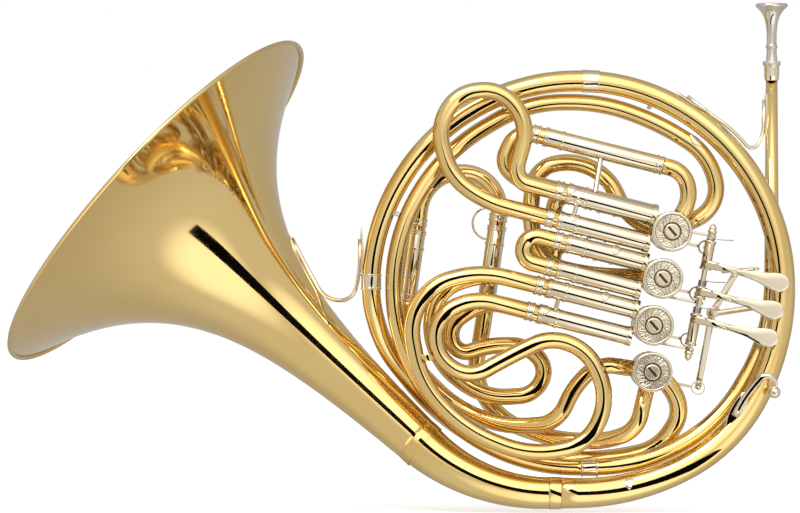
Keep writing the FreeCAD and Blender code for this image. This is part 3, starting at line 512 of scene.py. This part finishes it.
def make_branches():
    """The big tubing: tapered circles carried along routes of straight runs and arcs."""
    path = bend([TAIL, TAIL_CORNER, BRANCH_FOOT], steps=30)
    radius = taper(path, TAIL_RADIUS, FOOT_RADIUS, lambda s: 1 - (1 - s) ** 1.5)
    make_piece("bell_branch_drawn", [tube(path, radius, 56)], BRASS, "horn", "bell_branch",
               slot="lacquered_brass")
    corners = [BRANCH_FOOT, on_ring(-75, RING, -7), on_ring(-45, RING + 5, -5), on_ring(-15, RING, -2)]
    corners += [on_ring(angle, RING, 0) for angle in (15, 45, 75, 105, 135, 165)]
    corners.append(spot(-RING, 0, 0))
    path = bend(corners)
    radius = taper(path, FOOT_RADIUS, TIP_RADIUS, lambda s: s ** 0.6)
    make_piece("outer_branch_drawn", [tube(path, radius, 48)], BRASS, "horn", "outer_branch",
               slot="lacquered_brass")
    plain_tube("return_branch", [
        spot(-RING, 0, 0), spot(-RING, 0, -12), spot(9 - RING, 14, -44), on_ring(-135, RING - 16, 15),
        on_ring(-105, RING - 20, 15), (30, 17, -123), (60, 17, -116), (76, 12, -90), (66, 9, -68),
        VALVES[3] + DEEP * 9], 3, TIP_RADIUS)
    corners = [(140, 14, 149), (140, 14, -34), on_ring(-45, RING - 10, 8), (40, 0, 18 - RING),
               (10, 0, 18 - RING)]
    path = bend(corners, steps=24)
    radius = taper(path, 4.2, TUBE, lambda s: np.minimum(1, s * 1.6))
    make_piece("leadpipe_drawn", [tube(path, radius)], BRASS, "horn", "leadpipe", slot="lacquered_brass")
    feed = [(10, 0, 18 - RING), on_ring(-105, RING - 18, 0)]
    feed += [on_ring(angle, RING - 16, 0) for angle in (-135, -165)]
    feed += [on_ring(165, RING - 16, 2), on_ring(135, RING - 16, 6.5), on_ring(105, RING - 15, 6.5),
             (18, 6, RING - 15), (60, 4, 116.5), (95, 3, 94), (103, 5, 57), VALVES[0] + DEEP * 5]
    plain_tube("feed_branch", feed, 0)


make_bell()
make_branches()


# ---------------------------------------------------------------- valves

def leaf_relief(radius, angle):
    """Leaf sprays that swirl round the cap, cut as thin lines: curved stems, veins between them
    and a row of small arcs at the rim; 0 is the plain face and 1 the bottom of a line."""
    out = np.maximum(radius - 6.9, 0) / 4.4
    lines = ((9, 4.2 * out ** 1.2 + 0.7 * np.sin(3.1 * out), 0.30),
             (9, -3.2 * out + 2.0, 0.22), (18, 3.4 * out + 1.1, 0.36), (27, 7.0 * out, 0.42))
    cuts = [np.exp(-(np.sin(count / 2 * angle + turn / 2) / width) ** 2 * 4) for count, turn, width in lines]
    cuts[1] = cuts[1] * (np.abs(out - 0.42) < 0.3)
    cuts[3] = cuts[3] * (out > 0.72)
    return np.clip(np.max(cuts, axis=0), 0, 1)


def make_caps():
    """Turned screw caps: raised rim, engraved field, and a slotted boss in the middle."""
    ring = rounded([(CAP_RADIUS, 0), (CAP_RADIUS, 4.6), (13.6, 5.4), (12.2, 5.4), (11.8, 4.5)], 0.5)
    field = np.column_stack([np.linspace(11.7, 6.5, 60), np.full(60, 4.7)])
    boss = rounded([(6.45, 4.0), (5.9, 4.2), (5.7, 5.4), (5.0, 6.3), (4.4, 6.3)], 0.4)
    middle = np.column_stack([np.linspace(4.3, 0.02, 34), np.full(34, 6.3)])
    base = np.array([[0.02, 0.0], [11, 0.0]])
    profile = np.concatenate([base, ring, field, boss, middle])
    angle = np.linspace(0, 2 * math.pi, 324, endpoint=False)[None]
    radius, height = profile[:, :1], profile[:, 1:]
    in_field = np.abs(height - 4.7) < 1e-6
    leaves = leaf_relief(np.clip(radius, 6.5, 11.7), angle) * in_field
    beside = np.abs(radius * np.sin(angle + math.radians(38)))
    slot = np.clip((0.95 - beside) / 0.3, 0, 1) * (height > 5.9) * (radius < 4.6)
    moat = ((radius > 5.75) & (radius < 6.6)) | ((radius > 11.65) & (radius < 12.0))
    face = height - 0.3 * leaves - 1.2 * slot
    mask = np.clip(0.8 * leaves ** 1.5 + slot + 0.8 * moat * (height > 3.5), 0, 1)
    mask = np.concatenate([mask.ravel(), [0, 0.3]])
    for index, centre in enumerate(VALVES, start=1):
        points = (centre - DEEP * CASING_HALF + (radius * np.cos(angle))[..., None] * ACROSS
                  + (radius * np.sin(angle))[..., None] * UP - face[..., None] * DEEP)
        piece = make_piece(f"engraved_cap_{index}", [skin(points)], CAP_NICKEL, "horn", engraving=mask)
        if index == 1:
            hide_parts("valve_caps")


def make_casings():
    """Casings with a turned lip at the front and a flange at the back, and their back plates."""
    casings, plates = [], []
    for centre in VALVES:
        section = [(CASING_BORE, -CASING_HALF), (CASING, -CASING_HALF), (CASING, -25.4), (13.3, -25),
                   (13.3, 25), (CASING, 25.4), (CASING, CASING_HALF), (CASING_BORE, CASING_HALF)]
        casings.append(lathe(rounded(section, 0.4, True), centre, DEEP, 84, True))
        plate = [(2.66, 0), (13.8, 0), (13.8, 2.4), (13.2, 3.2), (8.4, 3.2), (7.8, 2.6), (6.8, 2.6),
                 (6.2, 3.2), (5.8, 4.8), (2.66, 4.8)]
        plates.append(lathe(rounded(plate, 0.3, True), centre + DEEP * CASING_HALF, DEEP, 84, True))
    make_piece("casings_turned", casings, NICKEL, "horn", "rotor_casings")
    make_piece("back_plates_turned", plates, NICKEL, "horn", "back_plates")


make_caps()
make_casings()


# ---------------------------------------------------------------- slides

SLEEVES, SLEEVE_RINGS = [], []


def sleeve(start, mouth, into=True):
    """A fixed outer tube, the ring round its mouth, and a knuckle ring behind it."""
    run = unit(mouth - start)
    length = np.linalg.norm(mouth - start)
    clear = CASING - 1.2 if into else 0.0
    SLEEVES.append(band(start + run * clear, run, length - clear, 6.06, SLEEVE, 0.15))
    SLEEVE_RINGS.append(beaded(mouth - run * 3.0, run, 3.0, SLEEVE, 0.25, 0.75, 0.9))
    SLEEVE_RINGS.append(band(mouth - run * 14.2, run, 2.0, SLEEVE, SLEEVE + 0.6, 0.5))
    if into:
        SLEEVE_RINGS.append(band(start + run * clear, run, 3.4, SLEEVE, SLEEVE + 0.55, 0.4))


def bow_ferrules(name, spots, body, *nodes):
    """Beaded ferrules that join a bow to its legs."""
    make_piece(name, [beaded(place, run, 5.2, TUBE) for place, run in spots], NICKEL, body, *nodes)


def off(valve, side, back):
    """A bow corner on a leg's own line."""
    place = leg(valve, side, back, 0)
    return place[0], place[2]


def valve_slide(name, valve, depth, mouths, bow):
    """A two-legged slide: sleeves from the casing, bow through the given middle corners."""
    ends = []
    for side, mouth in zip((1, -1), mouths):
        sleeve(leg(valve, side, 0, depth), leg(valve, side, mouth, depth))
        ends.append((leg(valve, side, CASING + 6, depth), leg(valve, side, mouth + 3.4, depth)))
    corners = [ends[0][0]] + [spot(x, depth, z) for x, z in bow] + [ends[1][0]]
    plain_tube(name, corners, body=name)
    nodes = [name + "_ferrules"] if depth < 0 else []
    bow_ferrules(name + "_beads", [(place, -ALONG) for _, place in ends], name, *nodes)


def make_slides():
    """Front slides of the three valves, then the smaller ones behind them."""
    valve_slide("valve_slide_1", 0, -LAYER, (78, 80), [
        off(0, 1, 112), (-44, 84), (-35, 116), (-54, 141), (-86, 138), (-100, 112), (-90, 78),
        off(0, -1, 132)])
    valve_slide("valve_slide_2", 1, -LAYER, (72, 74), [off(1, 1, 101), off(1, -1, 101)])
    valve_slide("valve_slide_3", 2, -LAYER, (79, 81), [
        off(2, 1, 128), (-104, 2), (-120, -24), (-112, -68), (-80, -102), (-34, -120), (8, -112),
        (22, -78), (8, -46), (-19, -35), (-50, -50), (-78, -66), (-102, -48), (-100, -20),
        off(2, -1, 128)])
    valve_slide("back_slide_1", 0, LAYER, (54, 56), [off(0, 1, 84), off(0, -1, 84)])
    valve_slide("back_slide_2", 1, LAYER, (50, 52), [off(1, 1, 78), off(1, -1, 78)])
    valve_slide("back_slide_3", 2, LAYER, (79, 81), [
        off(2, 1, 124), (-98, -2), (-106, -30), (-96, -58), (-66, -80), (-30, -78), (-20, -58),
        (-36, -42), (-62, -42), (-86, -50), (-92, -28), off(2, -1, 120)])


def make_main_slide():
    """The long slide at the top, its two sleeves, and the bend from it down to the first valve."""
    depth = -7.6
    upper = spot(58, depth, 87)
    lower = VALVES[0] + OVER * 9.5 + DEEP * depth
    upper_mouth, lower_mouth = upper - ALONG * 84, lower - ALONG * 78
    sleeve(upper, upper_mouth, False)
    sleeve(lower, lower_mouth)
    plain_tube("main_slide", [upper - ALONG * 12, upper_mouth - ALONG * 20, (-54, depth, 88),
                              lower_mouth - ALONG * 36, lower - ALONG * 24], body="main_slide")
    bow_ferrules("main_slide_beads", [(place - ALONG * 3.4, -ALONG) for place in (upper_mouth, lower_mouth)],
                 "main_slide", "main_slide_ferrules")
    plain_tube("main_slide_bend", [upper + ALONG * 0.6, (76, depth, 82.5), (81, depth, 62),
                                   VALVES[0] + DEEP * depth], 0)
    bow_ferrules("main_bend_ferrule", [(upper - ALONG * 2.2, ALONG)], "horn")


def make_tuning_slide():
    """The upright slide behind, its pull ring (a circle turned round an axis), and its two tails."""
    depth = 35
    left_foot, right_foot = spot(-121, depth, -8), spot(-64, depth, -10)
    left_mouth, right_mouth = left_foot + RISE * 49, right_foot + RISE * 54
    sleeve(left_foot, left_mouth, False)
    sleeve(right_foot, right_mouth, False)
    plain_tube("tuning_slide", [left_foot + RISE * 6, left_mouth + RISE * 44, right_mouth + RISE * 37,
                                right_foot + RISE * 6], body="tuning_slide")
    bow_ferrules("tuning_slide_beads", [(place + RISE * 3.4, RISE) for place in (left_mouth, right_mouth)],
                 "tuning_slide", "tuning_slide_ferrules")
    centre = right_mouth + spot(-6, SLEEVE + 1.6, 2)
    turn = np.linspace(0, 2 * math.pi, 20, endpoint=False)
    wire = np.column_stack([11.5 + 0.8 * np.cos(turn), 0.8 * np.sin(turn)])
    make_piece("pull_ring_wire", [lathe(wire, centre, DEEP, 96, True)], NICKEL, "tuning_slide", "pull_ring")
    plain_tube("tuning_tail_left", [
        left_foot, left_foot - RISE * 20, (-118, depth, -56), (-86, depth - 1, -88), (-50, 19, -101),
        (-14, 7, -98), (-2, 6, -72), (14, 6, -56), VALVES[3] + spot(0, 6, 3)], 3)
    plain_tube("tuning_tail_right", [
        right_foot, right_foot - RISE * 22, (-74, depth + 3, -68), (-52, depth + 3, -98),
        (-14, 20, -110), (20, 7, -111), (44, -2, -102), VALVES[3] + spot(-3, -4, 0)], 3)
    bow_ferrules("tuning_foot_ferrules", [(place - RISE * 2.6, RISE) for place in (left_foot, right_foot)],
                 "horn")


def make_cross_loop():
    """The loop that crosses behind from the first valve to the second."""
    plain_tube("cross_loop", [
        VALVES[0] + DEEP * 7, (38, 7, 46), (22, 7, 80), (-4, 7, 91), (-30, 7, 84), (-34, 7, 46),
        (-24, 7, 16), (10, 7, 8), VALVES[1] + DEEP * 7], 1, both=0)


make_slides()
make_main_slide()
make_tuning_slide()
make_cross_loop()
make_piece("sleeves_drawn", SLEEVES, NICKEL, "horn", "slide_sleeves")
make_piece("sleeve_rings_turned", SLEEVE_RINGS, NICKEL, "horn", "sleeve_rings")


# ---------------------------------------------------------------- mouthpiece

def make_mouthpiece():
    """Smooth outer curve from the tapered shank to the rounded rim, then down into the cup."""
    base = spot(140, 14, 149.5)
    length, rim = MOUTHPIECE_LENGTH, LIP_RIM
    outer = [(2.4, 0), (3.8, 0), (4.2, 12), (3.9, 15), (3.6, 21), (4.3, 21.6), (4.3, 23.4), (3.6, 24),
             (3.6, 32), (4.3, length - 14), (5.9, length - 9), (8.1, length - 5.4),
             (10.6, length - 3.2), (rim, length - 2.2), (rim, length - 0.8), (rim - 0.9, length),
             (rim - 2, length), (rim - 3.0, length - 1.2), (4.3, length - 8), (2.9, length - 14),
             (2.3, length - 22)]
    profile = rounded(outer, 2.2, True, 8)
    make_piece("mouthpiece_polished", [lathe(profile, base, spot(0, 0, 1), 96, True)], SILVER,
               "mouthpiece", "mouthpiece")
    receiver = [(4.0, 2), (4.35, 14), (6.4, 14), (6.4, 11.4), (5.7, 10.8), (5.4, 10), (5.4, 3.4),
                (4.8, 0.2), (4.22, 0), (4.22, 1.4)]
    parts = [lathe(rounded(receiver, 0.4, True, 6), spot(140, 14, 147.5), spot(0, 0, 1), 64, True)]
    make_piece("receiver_turned", parts, NICKEL, "horn", "mouthpiece_receiver")


make_mouthpiece()


# ---------------------------------------------------------------- levers

PADDLE = [(-27, 0), (-20, -2.3), (-10, -3.3), (-1, -5.8), (5, -7.6), (10.5, -6.6), (14.2, -2.6),
          (14.4, 2.2), (11, 5.4), (5, 6.2), (-2, 4.6), (-10, 3.1), (-20, 2.3)]


def straight(start, end):
    """Eight even places from start to end."""
    return start + np.linspace(0, 1, 8)[:, None] * (end - start)


def make_levers():
    """Each finger lever: hinge tube with end beads, flat crank to the back, arm and paddle."""
    spans = {1: (12, 33), 2: (-9.5, -0.5), 3: (-43, -20)}
    arms = {1: 16, 2: -4, 3: -24}
    for index, (low, high) in spans.items():
        crank_at = (VALVES[index - 1] - VALVE_2) @ UP - PIN_DROP
        foot, tip = hinge_spot(crank_at) + DEEP * 2.6, hinge_spot(crank_at) + DEEP * 52.1
        arm_from = hinge_spot(arms[index]) - DEEP * 2.9
        arm_to = arm_from + ALONG * 34 - DEEP * 8
        path = bend([arm_from - ALONG * 2, arm_from + ALONG * 5 - DEEP * 2.6,
                     arm_from + ALONG * 12 - DEEP * 7.2, arm_to + ALONG * 4 - DEEP * 0.3])
        parts = [
            band(hinge_spot(low), UP, high - low, HINGE_BORE, 3.7, 0.3),
            band(hinge_spot(low), UP, 2.2, HINGE_BORE, 4.3, 0.5),
            band(hinge_spot(high - 2.2), UP, 2.2, HINGE_BORE, 4.3, 0.5),
            tube(straight(foot - DEEP * 1.2, tip), np.linspace(2.6, 2.1, 8), 28, 0.5, 4.0, ACROSS),
            rod(tip - DEEP * 1.5, tip + DEEP * 5.4, CRANK_PIN),
            tube(path, np.linspace(3.1, 2.3, len(path)), 28, 0.42, 2.8, DEEP),
            plaque(PADDLE, ALONG, OVER, -DEEP, arm_to + ALONG * 12, 1.5, 0.3),
        ]
        name = f"finger_lever_{index}"
        make_piece(name + "_polished", parts, NICKEL, name, name)


make_levers()


def make_thumb_lever():
    """The thumb lever: two flat arms from the pivot, the pin at one end and the plate at the other."""
    pin = VALVES[3] + (ACROSS - UP) * PIN_DROP
    eye = pin + ACROSS * (38 - PIN_DROP) + DEEP * 42
    pivot = eye + UP * 55.1
    level = DEEP * 3.4
    arm_end = pivot + UP * 34 + ACROSS * 12
    pad_run = unit(ACROSS * 0.96 + UP * 0.28)
    pad_face = np.cross(pad_run, DEEP)
    outline = [(-13.5, -7.5), (-10, -9), (10, -9), (13.5, -7.5), (13.5, 7.5), (10, 9), (-10, 9), (-13.5, 7.5)]
    parts = [
        tube(straight(eye + level - UP, pivot + level + UP), np.full(8, 2.5), 28, 0.36, 4.0, DEEP),
        tube(straight(pivot + level, arm_end + level), np.full(8, 2.3), 28, 0.39, 4.0, DEEP),
        band(pivot + DEEP * 1.2, DEEP, 4.4, HINGE_BORE, 4.2, 0.4),
        rod(eye - DEEP * 2, eye + DEEP * 4, CRANK_PIN),
        plaque(outline, pad_run, DEEP, pad_face, arm_end + level + ACROSS * 2 - pad_face, 2.0, 0.5),
    ]
    make_piece("thumb_lever_polished", parts, NICKEL, "thumb_lever", "thumb_lever")


make_thumb_lever()


# ---------------------------------------------------------------- braces, hook, ferrules

def make_ferrules():
    """Turned collars on the big tubing, and the thin sleeves over the bell branch's two joints."""
    top = math.radians(88.5)
    parts = [
        beaded(spot(-RING, 0, -2), spot(0, 0, 1), 11, TIP_RADIUS + 0.16, 0.3, 0.7, 1.2),
        beaded(spot(15, 0, 18 - RING), spot(-1, 0, 0), 12, TUBE + 0.02, 0.3, 0.8, 1.4),
        beaded(spot(math.cos(top), 0, math.sin(top)) * RING, spot(1, 0, -0.045), 12,
               TIP_RADIUS + 1.15, 0.3, 0.45, 1.0),
    ]
    make_piece("branch_ferrules_turned", parts, NICKEL, "horn", "branch_ferrules")
    joints = [band(TAIL + MOUTHWARD, -MOUTHWARD, 8, TAIL_RADIUS - 0.1, TAIL_RADIUS + 0.25, 0.12, 72),
              band(BRANCH_FOOT, spot(1, 0.034, 0), 8, FOOT_RADIUS - 0.1, FOOT_RADIUS + 0.25, 0.12)]
    make_piece("branch_joint_sleeves", joints, BRASS, "horn", slot="lacquered_brass")


def to_front(direction):
    """The direction or its opposite, whichever faces the caps' side."""
    return -direction if direction[1] > 0 else direction


def make_hook():
    """The finger hook: a bent strip, a ball at its end and a crowned leaf at its foot."""
    path = bend([(112, -12.5, -92), (119, -15, -78), (133, -19, -62), (141, -18, -66), (140, -17, -74)])
    strip = tube(path, np.linspace(2.6, 1.8, len(path)), 28, 0.75, 2.0, DEEP)
    foot_run = unit(spot(119, 0, -78) - spot(112, 0, -92))
    leaf = [(-23, 0.4), (-16, -3.0), (-6, -5.2), (4, -4.6), (12, -2.4), (12, 2.4), (4, 4.6), (-6, 5.2),
            (-16, 3.0)]
    face = to_front(unit(np.cross(spot(0.54, -0.35, 0.76), spot(0.4, 0.1, -0.9))))
    flat = unit(np.cross(foot_run, face))
    foot = plaque(leaf, foot_run, flat, to_front(unit(np.cross(foot_run, flat))),
                  spot(115, -11.6, -86), 0.9, 0.5)
    parts = [strip, knob(spot(140, -17, -75), 4.4), foot]
    make_piece("finger_hook_polished", parts, NICKEL, "horn", "finger_hook")


def make_braces():
    """Bent wires from the bell and from the leadpipe to the ring, each ending in leaf feet."""
    bell_wire = bend([on_bell(92, 1.2), on_bell(116, 1.6), (-180, 12, -9.5), (-160, 0, -10),
                      (-155.2, -1, 10), (-155, 0, 34)])
    leaf = saddle(RIM_CENTRE - MOUTHWARD * 101, -MOUTHWARD - BELL_SIDE * 0.45, BELL_SIDE,
                  bell_radius_at(101) + 0.2, 26, 9)
    ring_leaf = saddle(spot(-RING, 0, 26), spot(0, 0, 1), spot(-1, -0.25, 0), 7.0, 34, 6)
    make_piece("bell_brace_wire", [tube(bell_wire, 1.4, 24), leaf, ring_leaf], NICKEL, "horn", "bell_brace")
    lead_wire = bend([(79, 1, 136), (114, 6, 110), (126, 10, 96), (134, 14, 108), (134.5, 14, 134)])
    lead_leaf = saddle(spot(140, 14, 124), spot(0, 0, 1), spot(-1, -0.3, 0), 4.6, 34, 5)
    turn = math.radians(58)
    branch_leaf = saddle(spot(math.cos(turn), 0, math.sin(turn)) * RING,
                         spot(-math.sin(turn), 0, math.cos(turn)),
                         spot(math.cos(turn), -0.2, math.sin(turn)), 8.6, 30, 7)
    make_piece("leadpipe_brace_wire", [tube(lead_wire, 1.3, 24), lead_leaf, branch_leaf], NICKEL, "horn",
               "leadpipe_brace")


def make_saddles():
    """Diamond feet of the short posts between neighbouring tubes."""
    between = unit(OVER * 0.72 - DEEP * 0.7)
    under = unit(-OVER * 0.6 - DEEP * 0.8)
    on_sleeves = [(0, 1, 76, between, 11, 7), (1, 1, 37, between, 12, 7), (2, 1, 38, between, 12, 7),
                  (2, -1, 77, between, 11, 7), (0, -1, 70, between, 9, 6), (0, 1, 70, under, 9, 6)]
    fixed = [saddle(leg(valve, side, back, -LAYER), ALONG, out, SLEEVE + 0.1, length, width, True)
             for valve, side, back, out, length, width in on_sleeves]
    fixed += [
        saddle(spot(-130.6, 2.6, 52), spot(0.25, 0, 1), spot(-0.4, -0.9, 0), TUBE + 0.1, 11, 6),
        saddle(spot(82.5, 2.9, 102), spot(0.7, 0, -0.7), spot(0.4, -0.8, 0.4), TUBE + 0.1, 12, 7),
        saddle(spot(36, -7, -145), spot(1, 0, 0.2), spot(0, -0.8, 0.6), 11.1, 13, 9, True)]
    make_piece("post_saddles", fixed, NICKEL, "horn")
    moving = [saddle(spot(-107.5, -LAYER, -50), spot(0.2, 0, 1), spot(0.1, -1, 0), TUBE, 12, 6, True)]
    make_piece("slide_saddle", moving, BRASS, "valve_slide_3", slot="lacquered_brass")


def helix(centre, axis, radius, pitch, turns):
    """A coil: radius round the axis while rising one pitch a turn."""
    side, lift = square_to(axis)
    angle = np.linspace(0, 2 * math.pi * turns, int(24 * turns))[:, None]
    around = np.cos(angle) * side + np.sin(angle) * lift
    return centre + radius * around + axis * pitch * angle / (2 * math.pi)


def make_springs():
    """Return springs: coils of wire round the hinge rod, each with a free arm to the lever side."""
    coils = []
    for low, high in ((33.1, 35.2), (-0.4, 4.6), (-19.8, -14.8)):
        turns = 2.5 if high - low < 3 else 5.5
        path = helix(hinge_spot(low + 0.4), UP, 2.75, (high - low - 0.8) / turns, turns)
        coils.append(tube(path, 0.36, 12, helper=UP))
        free = path[-1]
        arm = bend([free, free + ACROSS * 5 - DEEP * 2, free + ACROSS * 13 - DEEP * 1 + UP * 1.5])
        coils.append(tube(arm, 0.34, 12, helper=UP))
    make_piece("lever_springs_wound", coils, STEEL, "horn", "lever_springs", slot="spring_steel")


def make_hinge():
    """Hinge rod with a turned acorn at each end."""
    acorn = [(0, -1), (2.6, -0.6), (3.3, 0.6), (3.3, 1.8), (2.2, 2.4), (2.7, 3.4), (2.2, 5.0),
             (0.9, 6.4), (0, 6.8)]
    rounder = rounded(acorn, 0.8, steps=6)
    parts = [rod(hinge_spot(-48), hinge_spot(39), 1.9), lathe(rounder, hinge_spot(38.4), UP, 40),
             lathe(rounder, hinge_spot(-47.4), -UP, 40)]
    make_piece("hinge_rod_turned", parts, NICKEL, "horn", "lever_hinge_rod")


make_ferrules()
make_hook()
make_braces()
make_saddles()
make_springs()
make_hinge()


# ---------------------------------------------------------------- finishes of the pieces kept as they are

FOUR = range(1, 5)
KEPT = {ROTOR: [f"rotor_{n}" for n in FOUR], CORK: ["cork_bumpers"],
        NICKEL: [f"stop_arm_{n}" for n in FOUR] + [f"link_{n}" for n in FOUR]
        + ["lever_bracket", "thumb_pivot", "tube_posts"]}
for material, names in KEPT.items():
    for name in names:
        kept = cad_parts[name].data.materials
        kept.clear()
        kept.append(material)


# ---------------------------------------------------------------- studio

def make_floor():
    """A pale floor under the ring's lowest tube."""
    level = CAD_BOX[0].z - 0.002
    side = 9.0
    mesh = bpy.data.meshes.new("floor")
    mesh.from_pydata([(-side, -side, level), (side, -side, level), (side, side, level), (-side, side, level)],
                     [], [(0, 1, 2, 3)])
    floor = bpy.data.objects.new("floor", mesh)
    bpy.context.scene.collection.objects.link(floor)
    material = bpy.data.materials.new("pale_floor")
    material.use_nodes = True
    shader = material.node_tree.nodes["Principled BSDF"]
    shader.inputs["Base Color"].default_value = (0.8, 0.8, 0.8, 1)
    shader.inputs["Roughness"].default_value = 0.9
    shader.inputs["Specular IOR Level"].default_value = 0.1
    shader.inputs["Emission Color"].default_value = (1, 1, 1, 1)
    shader.inputs["Emission Strength"].default_value = 0.55
    mesh.materials.append(material)
    floor.visible_glossy = False


def make_studio():
    """A white tent: brightest in front, above and low on the right, a little dimmer behind."""
    world = bpy.data.worlds.new("studio")
    bpy.context.scene.world = world
    world.use_nodes = True
    nodes, links = world.node_tree.nodes, world.node_tree.links
    nodes.clear()
    way = nodes.new("ShaderNodeTexCoord")

    def toward(direction):
        made = nodes.new("ShaderNodeVectorMath")
        made.operation = "DOT_PRODUCT"
        made.inputs[1].default_value = direction
        links.new(way.outputs["Generated"], made.inputs[0])
        return made.outputs["Value"]

    def ramp(value, low, high, start, end):
        made = nodes.new("ShaderNodeMapRange")
        made.interpolation_type = "SMOOTHSTEP"
        for socket, number in zip(("From Min", "From Max", "To Min", "To Max"), (low, high, start, end)):
            made.inputs[socket].default_value = number
        links.new(value, made.inputs["Value"])
        return made.outputs["Result"]

    def times(first, second):
        made = nodes.new("ShaderNodeMath")
        made.operation = "MULTIPLY"
        links.new(first, made.inputs[0])
        links.new(second, made.inputs[1])
        return made.outputs[0]

    front = toward((0, -1, 0))
    body = ramp(front, -0.6, 0.35, 0.74, 1.0)
    upper = ramp(toward(unit(spot(0.05, -0.78, 0.62))), 0.72, 0.97, 0.72, 1.75)
    lower = ramp(toward(unit(spot(0.30, -0.75, -0.58))), 0.76, 0.97, 1.0, 2.0)
    glow = times(times(body, upper), lower)
    tent, backdrop = nodes.new("ShaderNodeBackground"), nodes.new("ShaderNodeBackground")
    tent.inputs["Color"].default_value = (1.0, 0.985, 0.96, 1)
    links.new(glow, tent.inputs["Strength"])
    backdrop.inputs["Color"].default_value = (1, 1, 1, 1)
    sight = nodes.new("ShaderNodeLightPath")
    pick = nodes.new("ShaderNodeMixShader")
    links.new(sight.outputs["Is Camera Ray"], pick.inputs[0])
    links.new(tent.outputs[0], pick.inputs[1])
    links.new(backdrop.outputs[0], pick.inputs[2])
    sky = nodes.new("ShaderNodeOutputWorld")
    links.new(pick.outputs[0], sky.inputs["Surface"])
    lamp = bpy.data.lights.new("soft_key", "AREA")
    lamp.shape, lamp.size, lamp.size_y, lamp.energy = "RECTANGLE", 1.4, 0.9, 22
    key = bpy.data.objects.new("soft_key", lamp)
    key.location = (-0.9, -1.6, 1.9)
    key.rotation_euler = (Vector((0, 0, 0)) - key.location).to_track_quat("-Z", "Y").to_euler()
    bpy.context.scene.collection.objects.link(key)


def make_card():
    """A long dark strip just in front of the horn, seen only in its reflections."""
    run, beside = unit(spot(1, 0, -1)), unit(spot(1, 0, 1))
    middle = spot(-0.046, -0.45, -0.046)
    half_width = 0.075
    corners = [middle + run * along + beside * across
               for along, across in ((-0.17, -half_width), (0.7, -half_width), (0.7, half_width),
                                     (-0.17, half_width))]
    mesh = bpy.data.meshes.new("dark_card")
    mesh.from_pydata([tuple(corner) for corner in corners], [], [(0, 1, 2, 3)])
    card = bpy.data.objects.new("dark_card", mesh)
    bpy.context.scene.collection.objects.link(card)
    material = bpy.data.materials.new("black_card")
    material.use_nodes = True
    shader = material.node_tree.nodes["Principled BSDF"]
    shader.inputs["Base Color"].default_value = (0.004, 0.004, 0.004, 1)
    shader.inputs["Roughness"].default_value = 1
    shader.inputs["Specular IOR Level"].default_value = 0
    mesh.materials.append(material)
    card.visible_camera = card.visible_diffuse = card.visible_shadow = False


def make_camera():
    """A long lens square to the ring, in front of the caps."""
    lens = bpy.data.cameras.new("front_view")
    lens.sensor_width, lens.lens = 36, 252
    lens.clip_end = 60
    camera = bpy.data.objects.new("front_view", lens)
    camera.location = (-0.1264, -4.0, 0.0216)
    camera.rotation_euler = (math.radians(90), 0, 0)
    bpy.context.scene.collection.objects.link(camera)
    bpy.context.scene.camera = camera
    bpy.context.scene.view_settings.view_transform = "Standard"


make_floor()
make_studio()
make_card()
make_camera()
